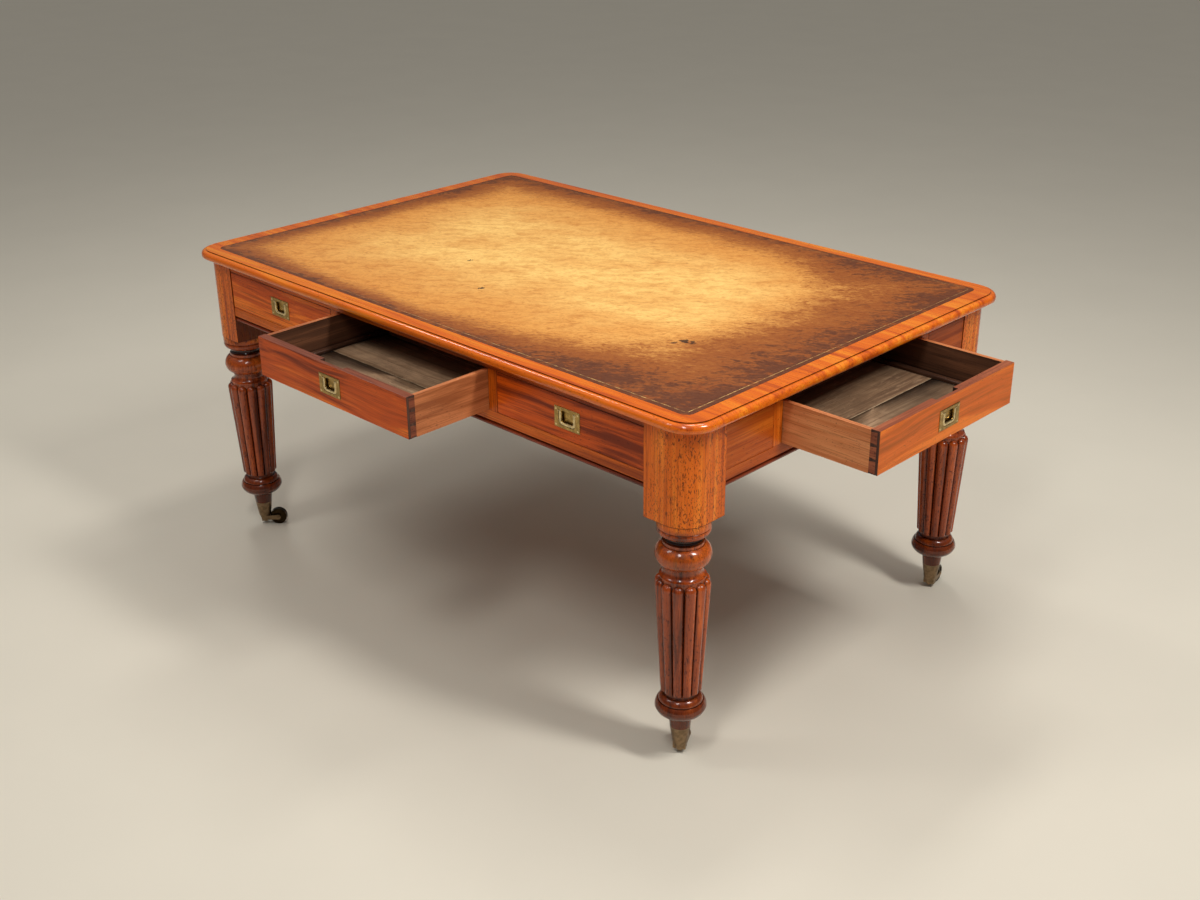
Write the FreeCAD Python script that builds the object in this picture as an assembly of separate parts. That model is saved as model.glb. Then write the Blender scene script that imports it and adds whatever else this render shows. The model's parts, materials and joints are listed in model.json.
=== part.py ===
import FreeCAD, Part
import math
import os

# Partners desk: a leather-lined top on four reeded legs with castors, and drawers on all four sides.
# Millimetres, Z up, floor at zero. It is laid out about the middle of its top, with X along the
# long side and the front at -Y, and is moved at the end so that its box stands centred on the origin.
V = FreeCAD.Vector

# Top and leather
DESK_HEIGHT = 750.0
TOP_THICK = 20.0
LEATHER_LENGTH = 1508.0
LEATHER_WIDTH = 968.0
LEATHER_THICK = 1.5
LEATHER_CORNER = 18.0
LEATHER_GAP = 0.2
END_BORDER = 37.5
LONG_BORDER = 31.0
EDGE_STEP = 2.0
EDGE_REACH = 13.0
EDGE_UPPER_ROUND = 10.0
EDGE_NOSE = 2.0
TOP_CORNER = 64.0
END_OVERHANG = 26.0
LONG_OVERHANG = 19.0

# Posts and rails of the frieze
POST_SIDE = 107.0
POST_DROP = 57.0
FRIEZE_RECESS = 1.5
UPPER_RAIL_HEIGHT = 17.0
LOWER_RAIL_HEIGHT = 22.0
RAIL_DEPTH = 60.0
OPENING_HEIGHT = 90.0
MIDDLE_OPENING = 496.0
DIVIDER_WIDTH = 25.0
STILE_WIDTH = 27.0
PANEL_WIDTH = 140.0
PANEL_THICK = 18.0
PANEL_BEVEL = 1.2
BEAD_HEIGHT = 8.0
BEAD_THICK = 14.0
BEAD_SETBACK = 1.5
BEAD_FLAT = 0.8
BEAD_NECK_HEIGHT = 5.0
BEAD_NECK_DEPTH = 6.0
TENON_LENGTH = 28.0
TENON_WIDTH = 30.0
TENON_INSET = 12.0
TENON_SHOULDER = 3.0
STUB_LENGTH = 5.0
STUB_SHOULDER = 6.0

# Runners, guides and kickers inside the frame
RUNNER_WIDTH = 75.0
RUNNER_THICK = 18.0
CORNER_RUNNER_WIDTH = 30.0
CORNER_LEDGE = 20.0
CENTRE_BEARER_WIDTH = 60.0
GUIDE_HEIGHT = 40.0
STOP_LENGTH = 30.0
STOP_WIDTH = 18.0
STOP_CLEARANCE = 3.3
STOP_INSET = 60.0
STOP_GAP = 0.4

# Screws that hold the top
TOP_SCREW_SHANK = 2.5
TOP_SCREW_HEAD = 5.0
TOP_SCREW_HEAD_DEPTH = 3.0
TOP_SCREW_COVER = 4.5
TOP_SCREW_INSET = 45.0

# Turned leg, from the post downwards: heights of the members and their radii
COLLAR_RADIUS = 52.3
COLLAR_HEIGHT = 15.5
GROOVE_HEIGHT = 2.0
GROOVE_DEPTH = 1.8
LIP_RADIUS = 51.5
LIP_HEIGHT = 13.5
LIP_FOOT_RADIUS = 39.5
LIP_SWELL = 6.0
SCOTIA_HEIGHT = 15.5
SCOTIA_DEPTH = 5.5
FILLET_RADIUS = 40.5
FILLET_HEIGHT = 6.5
BULB_HEIGHT = 45.5
BULB_TOP_RADIUS = 42.0
BULB_FOOT_RADIUS = 38.5
BULB_SWELL = 14.8
NECK_RADIUS = 37.0
NECK_HEIGHT = 5.0
DISH_HEIGHT = 19.0
DISH_RADIUS = 45.5
DISH_HOLLOW = 4.0
DISH_LIP = 2.0
REED_COUNT = 12
REED_TOP_RADIUS = 55.0
REED_FOOT_RADIUS = 41.0
REED_OVERLAP = 22.0
REED_CORE_INSET = 1.5
NOSE_DROP = 4.5
REED_FOOT_ROUND = 8.0
REED_FOOT_TUCK = 6.0
REED_FOOT_SWELL = 1.8
UNDERCUT_RADIUS = 33.5
UNDERCUT_HEIGHT = 9.5
UNDERCUT_DEPTH = 2.5
ANKLE_BEAD_RADIUS = 44.5
ANKLE_BEAD_HEIGHT = 12.5
ANKLE_BEAD_SWELL = 2.6
ANKLE_GROOVE = 1.5
FOOT_RING_RADIUS = 51.6
FOOT_SHOULDER_RADIUS = 46.5
FOOT_SHOULDER_HEIGHT = 14.5
FOOT_SHOULDER_SWELL = 1.3
FOOT_UNDER_HEIGHT = 18.5
FOOT_UNDER_SWELL = 6.5
STUB_TOP_RADIUS = 24.5
STUB_HEIGHT = 31.0

# Castors
WHEEL_RADIUS = 21.0
WHEEL_WIDTH = 18.0
WHEEL_ROUND = 2.5
WHEEL_DISH = 1.5
WHEEL_RIM = 5.0
WHEEL_CLEARANCE = 0.3
AXLE_RADIUS = 3.0
AXLE_PROUD = 1.2
CHEEK_THICK = 3.4
CHEEK_GAP = 0.6
BOSS_RADIUS = 6.5
HUB_INSET = 1.0
HUB_FOOT_RADIUS = 10.0
HUB_HEIGHT = 15.0
CROWN_LENGTH = 14.0
PIVOT_RADIUS = 4.0
PIVOT_HEAD_RADIUS = 7.0
PIVOT_HEAD_HEIGHT = 3.0
PIVOT_LIFT = 7.4
CUP_HEIGHT = 39.5
CUP_RIM_RADIUS = 21.0
CUP_FOOT_RADIUS = 15.0
CUP_WALL = 1.6
CUP_FLOOR = 4.0
CUP_GAP = 0.1
SWIVEL_GAP = 0.3
RUNNING_FIT = 0.05

# Drawers
DRAWER_GAP = 1.0
RUNNER_GAP = 0.3
FRONT_THICK = 20.0
LOCK_WIDTH = 76.0
LOCK_DEPTH = 12.0
LOCK_HEIGHT = 22.0
SIDE_THICK = 10.0
BACK_THICK = 10.0
BOTTOM_THICK = 6.0
BOTTOM_RISE = 8.0
BOTTOM_BOARD_COUNT = 3
SIDE_DROP = 2.0
BACK_DROP = 8.0
SLIP_WIDTH = 12.0
SLIP_HEIGHT = 8.0
SLIP_ROUND = 4.0
TAIL_COUNT = 3
TAIL_LAP = 6.0
TAIL_PIN = 4.0
TAIL_SPLAY = 2.0
MIDDLE_DRAWER_SPACE = 75.0
END_DRAWER_SPACE = 34.0
CORNER_DRAWER_SPACE = 10.5
FRONT_PULLED = 207.0
END_PULLED = 217.0

# Flush pulls
PLATE_SIDE_FLANGE = 8.1
PLATE_END_FLANGE = 2.6
PLATE_THICK = 2.0
PLATE_PROUD = 1.2
PLATE_BEVEL = 0.5
PULL_DROP = 0.5
BAIL_WIDTH = 44.0
BAIL_HEIGHT = 30.0
BAIL_BAR = 6.0
BAIL_THICK = 4.4
BAIL_CORNER = 9.0
BAIL_INNER_CORNER = 4.0
BAIL_GAP = 0.7
TRUNNION_RADIUS = 1.5
TRUNNION_COVER = 1.5
PAN_DEPTH = 7.0
PAN_WALL = 3.2
PAN_FLOOR = 1.5
PAN_FIT = 0.1
PIN_HEAD_RADIUS = 2.2
PIN_SHANK_RADIUS = 1.1
PIN_LENGTH = 12.0
PIN_INSET = 5.0

# Which way each castor trails at rest, in degrees from +X
TRAIL_FRONT_LEFT = 44.0
TRAIL_FRONT_RIGHT = 118.0
TRAIL_BACK_LEFT = 205.0
TRAIL_BACK_RIGHT = 101.0

# Levels and lines that follow from the sizes
top_half_x = LEATHER_LENGTH / 2 + END_BORDER + EDGE_REACH
top_half_y = LEATHER_WIDTH / 2 + LONG_BORDER + EDGE_REACH
post_x = top_half_x - END_OVERHANG
post_y = top_half_y - LONG_OVERHANG
leg_x = post_x - POST_SIDE / 2
leg_y = post_y - POST_SIDE / 2
inner_x = post_x - POST_SIDE
inner_y = post_y - POST_SIDE
frieze_x = post_x - FRIEZE_RECESS
frieze_y = post_y - FRIEZE_RECESS
rail_back_x = frieze_x - RAIL_DEPTH
rail_back_y = frieze_y - RAIL_DEPTH
under_top = DESK_HEIGHT - TOP_THICK
opening_top = under_top - UPPER_RAIL_HEIGHT
opening_floor = opening_top - OPENING_HEIGHT
rail_floor = opening_floor - LOWER_RAIL_HEIGHT
bead_floor = rail_floor - BEAD_NECK_HEIGHT - BEAD_HEIGHT
post_floor = bead_floor - POST_DROP
runner_floor = opening_floor - RUNNER_THICK
divider_in = MIDDLE_OPENING / 2
divider_out = divider_in + DIVIDER_WIDTH
divider_mid = divider_in + DIVIDER_WIDTH / 2
stile_out = inner_y - PANEL_WIDTH
stile_in = stile_out - STILE_WIDTH
stile_mid = stile_out - STILE_WIDTH / 2
end_opening = 2 * stile_in
head_top = PIVOT_LIFT + PIVOT_HEAD_HEIGHT
hub_floor = head_top + SWIVEL_GAP
hub_top = hub_floor + HUB_HEIGHT
cup_floor = hub_top + SWIVEL_GAP
cup_top = cup_floor + CUP_HEIGHT
wheel_reach = WHEEL_RADIUS + WHEEL_CLEARANCE
wheel_trail = CUP_FOOT_RADIUS + math.sqrt(wheel_reach ** 2 - (cup_floor - WHEEL_RADIUS) ** 2)
corner_opening = inner_x - divider_out
corner_centre = (inner_x + divider_out) / 2
middle_depth = frieze_y - MIDDLE_DRAWER_SPACE / 2
end_depth = frieze_x - divider_out - END_DRAWER_SPACE
corner_depth = frieze_y - stile_out - CORNER_DRAWER_SPACE
box_right = frieze_x + END_PULLED + PLATE_PROUD
box_front = frieze_y + FRONT_PULLED + PLATE_PROUD
origin = V((box_right - top_half_x) / 2, (top_half_y - box_front) / 2, 0)


# Shape helpers
def block(x0, x1, y0, y1, z0, z1):
    return Part.makeBox(x1 - x0, y1 - y0, z1 - z0, V(x0, y0, z0))


def group(solids):
    return Part.makeCompound(solids)


def mirrored(shape, flip_x, flip_y):
    result = shape.copy()
    if flip_x:
        result = result.mirror(V(0, 0, 0), V(1, 0, 0))
    if flip_y:
        result = result.mirror(V(0, 0, 0), V(0, 1, 0))
    return result


def on_both(shape, flip_x, flip_y):
    return [shape, mirrored(shape, flip_x, flip_y)]


def on_four(shape):
    return [mirrored(shape, fx, fy) for fx in (False, True) for fy in (False, True)]


def rounded_plate(half_x, half_y, corner, z0, z1):
    """A flat plate with rounded corners in plan."""
    plate = block(-half_x, half_x, -half_y, half_y, z0, z1)
    upright = [e for e in plate.Edges if abs(e.BoundBox.ZLength - (z1 - z0)) < 0.001]
    return plate.makeFillet(corner, upright)


def edges_at(shape, z):
    return [e for e in shape.Edges if abs(e.BoundBox.ZMin - z) < 0.001 and e.BoundBox.ZLength < 0.001]


def turned(start, steps):
    """Turns a profile about Z. A step is (radius, height, swell): the middle of the curve to that
    point stands off its chord by the swell, outwards if positive."""
    edges = []
    r0, z0 = start
    for r1, z1, swell in steps:
        a = V(r0, 0, z0)
        b = V(r1, 0, z1)
        if swell:
            chord = b - a
            outward = V(-chord.z, 0, chord.x).normalize()
            edges.append(Part.Arc(a, (a + b) * 0.5 + outward * swell, b).toShape())
        else:
            edges.append(Part.makeLine(a, b))
        r0, z0 = r1, z1
    if r0 > 0:
        edges.append(Part.makeLine(V(r0, 0, z0), V(0, 0, z0)))
    edges.append(Part.makeLine(V(0, 0, z0), V(0, 0, start[1])))
    edges.append(Part.makeLine(V(0, 0, start[1]), V(start[0], 0, start[1])))
    face = Part.Face(Part.Wire(edges))
    return face.revolve(V(0, 0, 0), V(0, 0, 1), 360)


def slab(width, z0, z1, low_round, y0, y1):
    """An upright slab across X with its two lower corners rounded."""
    plate = block(-width / 2, width / 2, y0, y1, z0, z1)
    low = [e for e in edges_at(plate, z0) if e.BoundBox.YLength > e.BoundBox.XLength]
    return plate.makeFillet(low_round, low)


# Top
def make_top():
    body = rounded_plate(top_half_x, top_half_y, TOP_CORNER, under_top, DESK_HEIGHT - EDGE_STEP)
    body = body.makeFillet(EDGE_UPPER_ROUND, edges_at(body, DESK_HEIGHT - EDGE_STEP))
    lower_round = TOP_THICK - EDGE_STEP - EDGE_UPPER_ROUND - EDGE_NOSE
    body = body.makeFillet(lower_round, edges_at(body, under_top))
    field = rounded_plate(top_half_x - EDGE_REACH, top_half_y - EDGE_REACH, TOP_CORNER - EDGE_REACH,
                          under_top, DESK_HEIGHT)
    recess = rounded_plate(LEATHER_LENGTH / 2 + LEATHER_GAP, LEATHER_WIDTH / 2 + LEATHER_GAP,
                           LEATHER_CORNER + LEATHER_GAP, DESK_HEIGHT - LEATHER_THICK, DESK_HEIGHT)
    top = body.fuse(field).cut(recess)
    for hole in top_screw_shapes():
        top = top.cut(hole)
    return top.removeSplitter()


def make_leather():
    return rounded_plate(LEATHER_LENGTH / 2, LEATHER_WIDTH / 2, LEATHER_CORNER,
                         DESK_HEIGHT - LEATHER_THICK, DESK_HEIGHT)


def top_screw_shapes():
    """Countersunk screws through the upper rails into the top."""
    tip = DESK_HEIGHT - LEATHER_THICK - TOP_SCREW_COVER
    screw = turned((TOP_SCREW_SHANK, tip),
                   [(TOP_SCREW_SHANK, opening_top + TOP_SCREW_HEAD_DEPTH, 0),
                    (TOP_SCREW_HEAD, opening_top, 0)])
    row_y = frieze_y - TOP_SCREW_INSET
    places = [V(step * corner_centre, side * row_y, 0) for side in (-1, 1) for step in (-1, 0, 1)]
    places += [V(side * (frieze_x - TOP_SCREW_INSET), 0, 0) for side in (-1, 1)]
    return [screw.translated(place) for place in places]


# Frieze: rails, dividers, stiles, panels and the bead under the rails
def tenon_ends(z0, z1):
    """Height range of a rail's tenon between its shoulders."""
    return z0 + TENON_SHOULDER, z1 - TENON_SHOULDER


def long_rail(z0, z1):
    rail = block(-inner_x, inner_x, -frieze_y, -rail_back_y, z0, z1)
    low, high = tenon_ends(z0, z1)
    near = TENON_INSET - frieze_y
    tenon = block(-inner_x - TENON_LENGTH, inner_x + TENON_LENGTH, near, near + TENON_WIDTH, low, high)
    return rail.fuse(tenon).removeSplitter()


def end_rail(z0, z1):
    rail = block(rail_back_x, frieze_x, -inner_y, inner_y, z0, z1)
    low, high = tenon_ends(z0, z1)
    far = frieze_x - TENON_INSET
    tenon = block(far - TENON_WIDTH, far, -inner_y - TENON_LENGTH, inner_y + TENON_LENGTH, low, high)
    return rail.fuse(tenon).removeSplitter()


def upright(x0, x1, y0, y1):
    """A divider or stile with a stub tenon into the rail above and the rail below."""
    body = block(x0, x1, y0, y1, opening_floor, opening_top)
    stub = block(x0 + STUB_SHOULDER, x1 - STUB_SHOULDER, y0 + STUB_SHOULDER, y1 - STUB_SHOULDER,
                 opening_floor - STUB_LENGTH, opening_top + STUB_LENGTH)
    return body.fuse(stub).removeSplitter()


def make_dividers():
    return on_four(upright(divider_in, divider_out, -frieze_y, -rail_back_y))


def make_stiles():
    return on_four(upright(rail_back_x, frieze_x, -stile_out, -stile_in))


def make_panels():
    """Fixed panels between the end stiles and the posts, with bevelled face edges."""
    panel = block(frieze_x - PANEL_THICK, frieze_x, -inner_y, -stile_out, opening_floor, opening_top)
    face = [e for e in panel.Edges if abs(e.BoundBox.XMin - frieze_x) < 0.001]
    return on_four(panel.makeChamfer(PANEL_BEVEL, face))


def bead_strip(length):
    """A rounded bead hung from a narrower neck, along X with its outer side at -Y."""
    bead = block(-length / 2, length / 2, 0, BEAD_THICK, bead_floor - rail_floor, -BEAD_NECK_HEIGHT)
    nose = [e for e in bead.Edges if e.BoundBox.XLength > 0 and e.BoundBox.YMax < 0.001
            and e.BoundBox.ZLength < 0.001]
    bead = bead.makeFillet((BEAD_HEIGHT - BEAD_FLAT) / 2, nose)
    neck = block(-length / 2, length / 2, BEAD_NECK_DEPTH, BEAD_THICK, -BEAD_NECK_HEIGHT, 0)
    return bead.fuse(neck).removeSplitter()


def make_beads():
    """Bead mouldings set a little back under the lower rails."""
    long_bead = bead_strip(2 * inner_x).translated(V(0, BEAD_SETBACK - frieze_y, rail_floor))
    end_bead = bead_strip(2 * inner_y).translated(V(0, BEAD_SETBACK - frieze_x, rail_floor))
    end_bead.rotate(V(0, 0, 0), V(0, 0, 1), 90)
    return on_both(long_bead, False, True) + on_both(end_bead, True, False)


def cut_all(shape, tools):
    for tool in tools:
        shape = shape.cut(tool)
    return shape


# Runners, guides, kickers and stops inside the frame
def cross_strips(z0, z1):
    """Two strips from front rail to back rail and four from them to the end rails."""
    half = RUNNER_WIDTH / 2
    cross = block(divider_mid - half, divider_mid + half, -rail_back_y, rail_back_y, z0, z1)
    end = block(divider_mid + half, rail_back_x, -stile_mid - half, -stile_mid + half, z0, z1)
    return on_both(cross, True, False) + on_four(end)


def make_runners():
    half = RUNNER_WIDTH / 2
    strips = cross_strips(runner_floor, opening_floor)
    inside = block(inner_x - CORNER_RUNNER_WIDTH, inner_x, -rail_back_y, -stile_out,
                   runner_floor, opening_floor)
    ledge = block(inner_x, inner_x + CORNER_LEDGE, -inner_y, -stile_out, runner_floor, opening_floor)
    centre = block(-divider_mid + half, divider_mid - half, -CENTRE_BEARER_WIDTH / 2,
                   CENTRE_BEARER_WIDTH / 2, runner_floor, opening_floor)
    corner = cut_all(inside.fuse(ledge), strips).removeSplitter()
    return strips + on_four(corner) + [centre]


def make_guides():
    top = opening_floor + GUIDE_HEIGHT
    cross = block(divider_in, divider_out, -rail_back_y, rail_back_y, opening_floor, top)
    end = block(divider_out, rail_back_x, -stile_out, -stile_in, opening_floor, top)
    corner = block(inner_x, inner_x + CORNER_LEDGE, -inner_y, -stile_out, opening_floor, top)
    return on_both(cross, True, False) + on_four(end) + on_four(corner)


def make_stops():
    """Two small blocks behind each closed drawer front, under the drawer's bottom."""
    solids = []
    near = FRONT_THICK + STOP_GAP
    high = bottom_floor - STOP_CLEARANCE
    for drawer in DRAWERS:
        middle = drawer["width"] / 2 - STOP_INSET
        for x in (-middle, middle):
            stop = block(x - STOP_LENGTH / 2, x + STOP_LENGTH / 2, near, near + STOP_WIDTH,
                         opening_floor, high)
            solids.append(placed(stop, drawer, 0))
    return solids


# Legs
def reed_round(crest):
    """The radius of a reed whose crest stands this far out, its neighbours meeting it at the overlap."""
    spread = math.sin(math.pi / REED_COUNT)
    return crest * spread / (math.cos(math.radians(REED_OVERLAP)) + spread)


def reed_core(crest):
    """The radius of the turned core a little below the valleys between reeds."""
    across = reed_round(crest)
    valley = (crest - across) * math.cos(math.pi / REED_COUNT)
    valley = valley + across * math.sin(math.radians(REED_OVERLAP))
    return valley - REED_CORE_INSET


def leg_reeds(z_reeds, z_reed_foot):
    """Tapering round reeds set about the leg, each with a ball end under the dish and a tucked foot."""
    top_round = reed_round(REED_TOP_RADIUS)
    foot_round = reed_round(REED_FOOT_RADIUS)
    base = V(REED_FOOT_RADIUS - foot_round, 0, z_reed_foot - REED_FOOT_ROUND)
    axis = V(REED_TOP_RADIUS - top_round, 0, z_reeds - NOSE_DROP - top_round) - base
    ball_bow = (math.sqrt(0.5) - 1) * top_round
    reed = turned((foot_round, 0), [(top_round, axis.Length, 0), (0, axis.Length + top_round, ball_bow)])
    reed.rotate(V(0, 0, 0), V(0, 1, 0), math.degrees(math.atan2(axis.x, axis.z)))
    reed = reed.translated(base)
    limit = turned((REED_TOP_RADIUS + REED_FOOT_TUCK, z_reeds), [
        (REED_FOOT_RADIUS + REED_FOOT_TUCK, z_reed_foot + REED_FOOT_ROUND, 0),
        (REED_FOOT_RADIUS - REED_FOOT_TUCK, z_reed_foot, REED_FOOT_SWELL)])
    reed = reed.common(limit)
    reeds = []
    for i in range(REED_COUNT):
        copy = reed.copy()
        copy.rotate(V(0, 0, 0), V(0, 0, 1), i * 360 / REED_COUNT)
        reeds.append(copy)
    return reeds


def leg_turning():
    """The leg below the post: turned neck, reeded shaft, foot ring and the stub inside the cup."""
    z_groove = post_floor - COLLAR_HEIGHT
    z_lip = z_groove - GROOVE_HEIGHT
    z_scotia = z_lip - LIP_HEIGHT
    z_fillet = z_scotia - SCOTIA_HEIGHT
    z_bulb = z_fillet - FILLET_HEIGHT
    z_neck = z_bulb - BULB_HEIGHT
    z_dish = z_neck - NECK_HEIGHT
    z_reeds = z_dish - DISH_HEIGHT
    z_stub = cup_top + STUB_HEIGHT
    z_ring = z_stub + FOOT_UNDER_HEIGHT
    z_shoulder = z_ring + FOOT_SHOULDER_HEIGHT
    z_bead = z_shoulder + ANKLE_GROOVE
    z_undercut = z_bead + ANKLE_BEAD_HEIGHT
    z_reed_foot = z_undercut + UNDERCUT_HEIGHT
    wall = CUP_WALL + CUP_GAP
    spindle = turned((COLLAR_RADIUS, post_floor), [
        (COLLAR_RADIUS, z_groove, 0),
        (COLLAR_RADIUS - GROOVE_DEPTH, (z_groove + z_lip) / 2, 0),
        (LIP_RADIUS, z_lip, 0),
        (LIP_FOOT_RADIUS, z_scotia, LIP_SWELL),
        (LIP_FOOT_RADIUS, z_fillet, -SCOTIA_DEPTH),
        (FILLET_RADIUS, z_fillet, 0),
        (FILLET_RADIUS, z_bulb, 0),
        (BULB_TOP_RADIUS, z_bulb, 0),
        (BULB_FOOT_RADIUS, z_neck, BULB_SWELL),
        (NECK_RADIUS, z_neck, 0),
        (NECK_RADIUS, z_dish, 0),
        (DISH_RADIUS, z_reeds + DISH_LIP, -DISH_HOLLOW),
        (DISH_RADIUS, z_reeds, 0),
        (reed_core(REED_TOP_RADIUS), z_reeds, 0),
        (reed_core(REED_FOOT_RADIUS), z_reed_foot, 0),
        (REED_FOOT_RADIUS - REED_FOOT_TUCK, z_reed_foot, 0),
        (UNDERCUT_RADIUS, z_undercut, -UNDERCUT_DEPTH),
        (ANKLE_BEAD_RADIUS, z_bead, ANKLE_BEAD_SWELL),
        (ANKLE_BEAD_RADIUS - ANKLE_GROOVE, z_shoulder, 0),
        (FOOT_SHOULDER_RADIUS, z_shoulder, 0),
        (FOOT_RING_RADIUS, z_ring, FOOT_SHOULDER_SWELL),
        (STUB_TOP_RADIUS, z_stub, FOOT_UNDER_SWELL),
        (CUP_RIM_RADIUS, cup_top, 0),
        (CUP_RIM_RADIUS - wall, cup_top, 0),
        (CUP_FOOT_RADIUS - wall, cup_floor + CUP_FLOOR + CUP_GAP, 0)])
    return spindle.fuse(leg_reeds(z_reeds, z_reed_foot))


def make_leg(mortises):
    """The front left leg about its own axis, with its post's outer corner rounded to the axis."""
    half = POST_SIDE / 2
    post = block(-half, half, -half, half, post_floor, under_top)
    corner = [e for e in post.Edges if e.BoundBox.ZLength > POST_DROP
              and e.BoundBox.XMax < 0 and e.BoundBox.YMax < 0]
    post = post.makeFillet(half, corner)
    leg = post.fuse(leg_turning()).translated(V(-leg_x, -leg_y, 0))
    return cut_all(leg, mortises).removeSplitter()


# Castors, about the leg's axis with the wheel trailing along +X
def make_cup():
    outer = turned((CUP_RIM_RADIUS, cup_top), [(CUP_FOOT_RADIUS, cup_floor, 0)])
    hollow = turned((CUP_RIM_RADIUS - CUP_WALL, cup_top),
                    [(CUP_FOOT_RADIUS - CUP_WALL, cup_floor + CUP_FLOOR, 0)])
    bore = Part.makeCylinder(PIVOT_RADIUS, cup_floor + CUP_FLOOR)
    return outer.cut(hollow).cut(bore)


def make_pivot():
    """The swivel pin riveted into the cup's floor, with its head under the horn."""
    return turned((PIVOT_RADIUS, cup_floor + CUP_FLOOR), [
        (PIVOT_RADIUS, head_top, 0),
        (PIVOT_HEAD_RADIUS, head_top, 0),
        (PIVOT_HEAD_RADIUS, PIVOT_LIFT, 0)])


def cheek_plate(y0):
    """One arm of the horn, from the hub to the axle's boss."""
    low = WHEEL_RADIUS - BOSS_RADIUS
    high = WHEEL_RADIUS + BOSS_RADIUS
    a = V(0, y0, hub_top)
    knee = V(CUP_FOOT_RADIUS, y0, hub_top)
    b = V(wheel_trail, y0, high)
    c = V(wheel_trail + BOSS_RADIUS, y0, WHEEL_RADIUS)
    d = V(wheel_trail, y0, low)
    e = V(0, y0, low)
    wire = Part.Wire([Part.makeLine(a, knee), Part.makeLine(knee, b), Part.Arc(b, c, d).toShape(),
                      Part.makeLine(d, e), Part.makeLine(e, a)])
    return Part.Face(wire).extrude(V(0, CHEEK_THICK, 0))


def make_horn():
    """The horn that swivels on the pin, and the axle pin riveted through its cheeks."""
    inner = WHEEL_WIDTH / 2 + CHEEK_GAP
    outer = inner + CHEEK_THICK
    hub = turned((CUP_FOOT_RADIUS - HUB_INSET, hub_top), [(HUB_FOOT_RADIUS, hub_floor, 0)])
    crown = block(-CROWN_LENGTH / 2, CROWN_LENGTH / 2, -outer, outer, hub_floor, hub_top)
    horn = hub.fuse([crown, cheek_plate(inner), cheek_plate(-outer)])
    horn = horn.cut(Part.makeCylinder(PIVOT_RADIUS + RUNNING_FIT, cup_floor))
    reach = outer + AXLE_PROUD
    axle = Part.makeCylinder(AXLE_RADIUS, 2 * reach, V(wheel_trail, -reach, WHEEL_RADIUS), V(0, 1, 0))
    return [horn.cut(axle).removeSplitter(), axle]


def make_wheel():
    """A solid wheel with rounded tread edges and dished faces."""
    half = WHEEL_WIDTH / 2
    wheel = Part.makeCylinder(WHEEL_RADIUS, WHEEL_WIDTH, V(0, 0, -half))
    rims = [e for e in wheel.Edges if e.BoundBox.ZLength < 0.001]
    wheel = wheel.makeFillet(WHEEL_ROUND, rims)
    for z in (-half, half - WHEEL_DISH):
        wheel = wheel.cut(ring(WHEEL_RADIUS - WHEEL_RIM, AXLE_RADIUS + WHEEL_RIM, z, WHEEL_DISH))
    bore = Part.makeCylinder(AXLE_RADIUS + RUNNING_FIT, WHEEL_WIDTH, V(0, 0, -half))
    wheel = wheel.cut(bore)
    wheel.rotate(V(0, 0, 0), V(1, 0, 0), 90)
    return wheel.translated(V(wheel_trail, 0, WHEEL_RADIUS))


def ring(outer, inner, z, height):
    full = Part.makeCylinder(outer, height, V(0, 0, z))
    return full.cut(Part.makeCylinder(inner, height, V(0, 0, z)))


def at_leg(shape, castor):
    """Turns a castor's piece to where it trails and moves it under its leg."""
    result = shape.copy()
    result.rotate(V(0, 0, 0), V(0, 0, 1), castor["trail"])
    return result.translated(V(castor["side_x"] * leg_x, castor["side_y"] * leg_y, 0))


# Drawers, each about its own closed face: X across, Y into the desk
front_height = OPENING_HEIGHT - 2 * DRAWER_GAP
front_floor = opening_floor + DRAWER_GAP
side_floor = opening_floor + RUNNER_GAP
side_top = front_floor + front_height - SIDE_DROP
bottom_floor = side_floor + BOTTOM_RISE
bottom_top = bottom_floor + BOTTOM_THICK
pull_middle = front_floor + front_height / 2 - PULL_DROP
trunnion_z = pull_middle + BAIL_HEIGHT / 2 - BAIL_THICK / 2
trunnion_y = BAIL_THICK / 2 - PLATE_PROUD
pan_floor_y = PAN_DEPTH - PLATE_PROUD


def placed(shape, drawer, pulled):
    """Moves a drawer's piece to its opening, pulled out by the given distance."""
    result = shape.translated(V(drawer["centre"], -drawer["face"] - pulled, 0))
    result.rotate(V(0, 0, 0), V(0, 0, 1), drawer["turn"])
    return result


def tail_shapes(x0, x1):
    """The dovetails at the front end of a side, between its lap and the front's back face."""
    pitch = (side_top - side_floor) / TAIL_COUNT
    shapes = []
    for i in range(TAIL_COUNT):
        low = side_floor + i * pitch + TAIL_PIN / 2
        high = side_floor + (i + 1) * pitch - TAIL_PIN / 2
        points = [V(x0, FRONT_THICK, low + TAIL_SPLAY), V(x0, TAIL_LAP, low),
                  V(x0, TAIL_LAP, high), V(x0, FRONT_THICK, high - TAIL_SPLAY)]
        face = Part.Face(Part.makePolygon(points + points[:1]))
        shapes.append(face.extrude(V(x1 - x0, 0, 0)))
    return shapes


def side_ranges(width):
    """The X ranges of the left and the right side of a drawer of this front width."""
    half = width / 2
    return [(-half, SIDE_THICK - half), (half - SIDE_THICK, half)]


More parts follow.
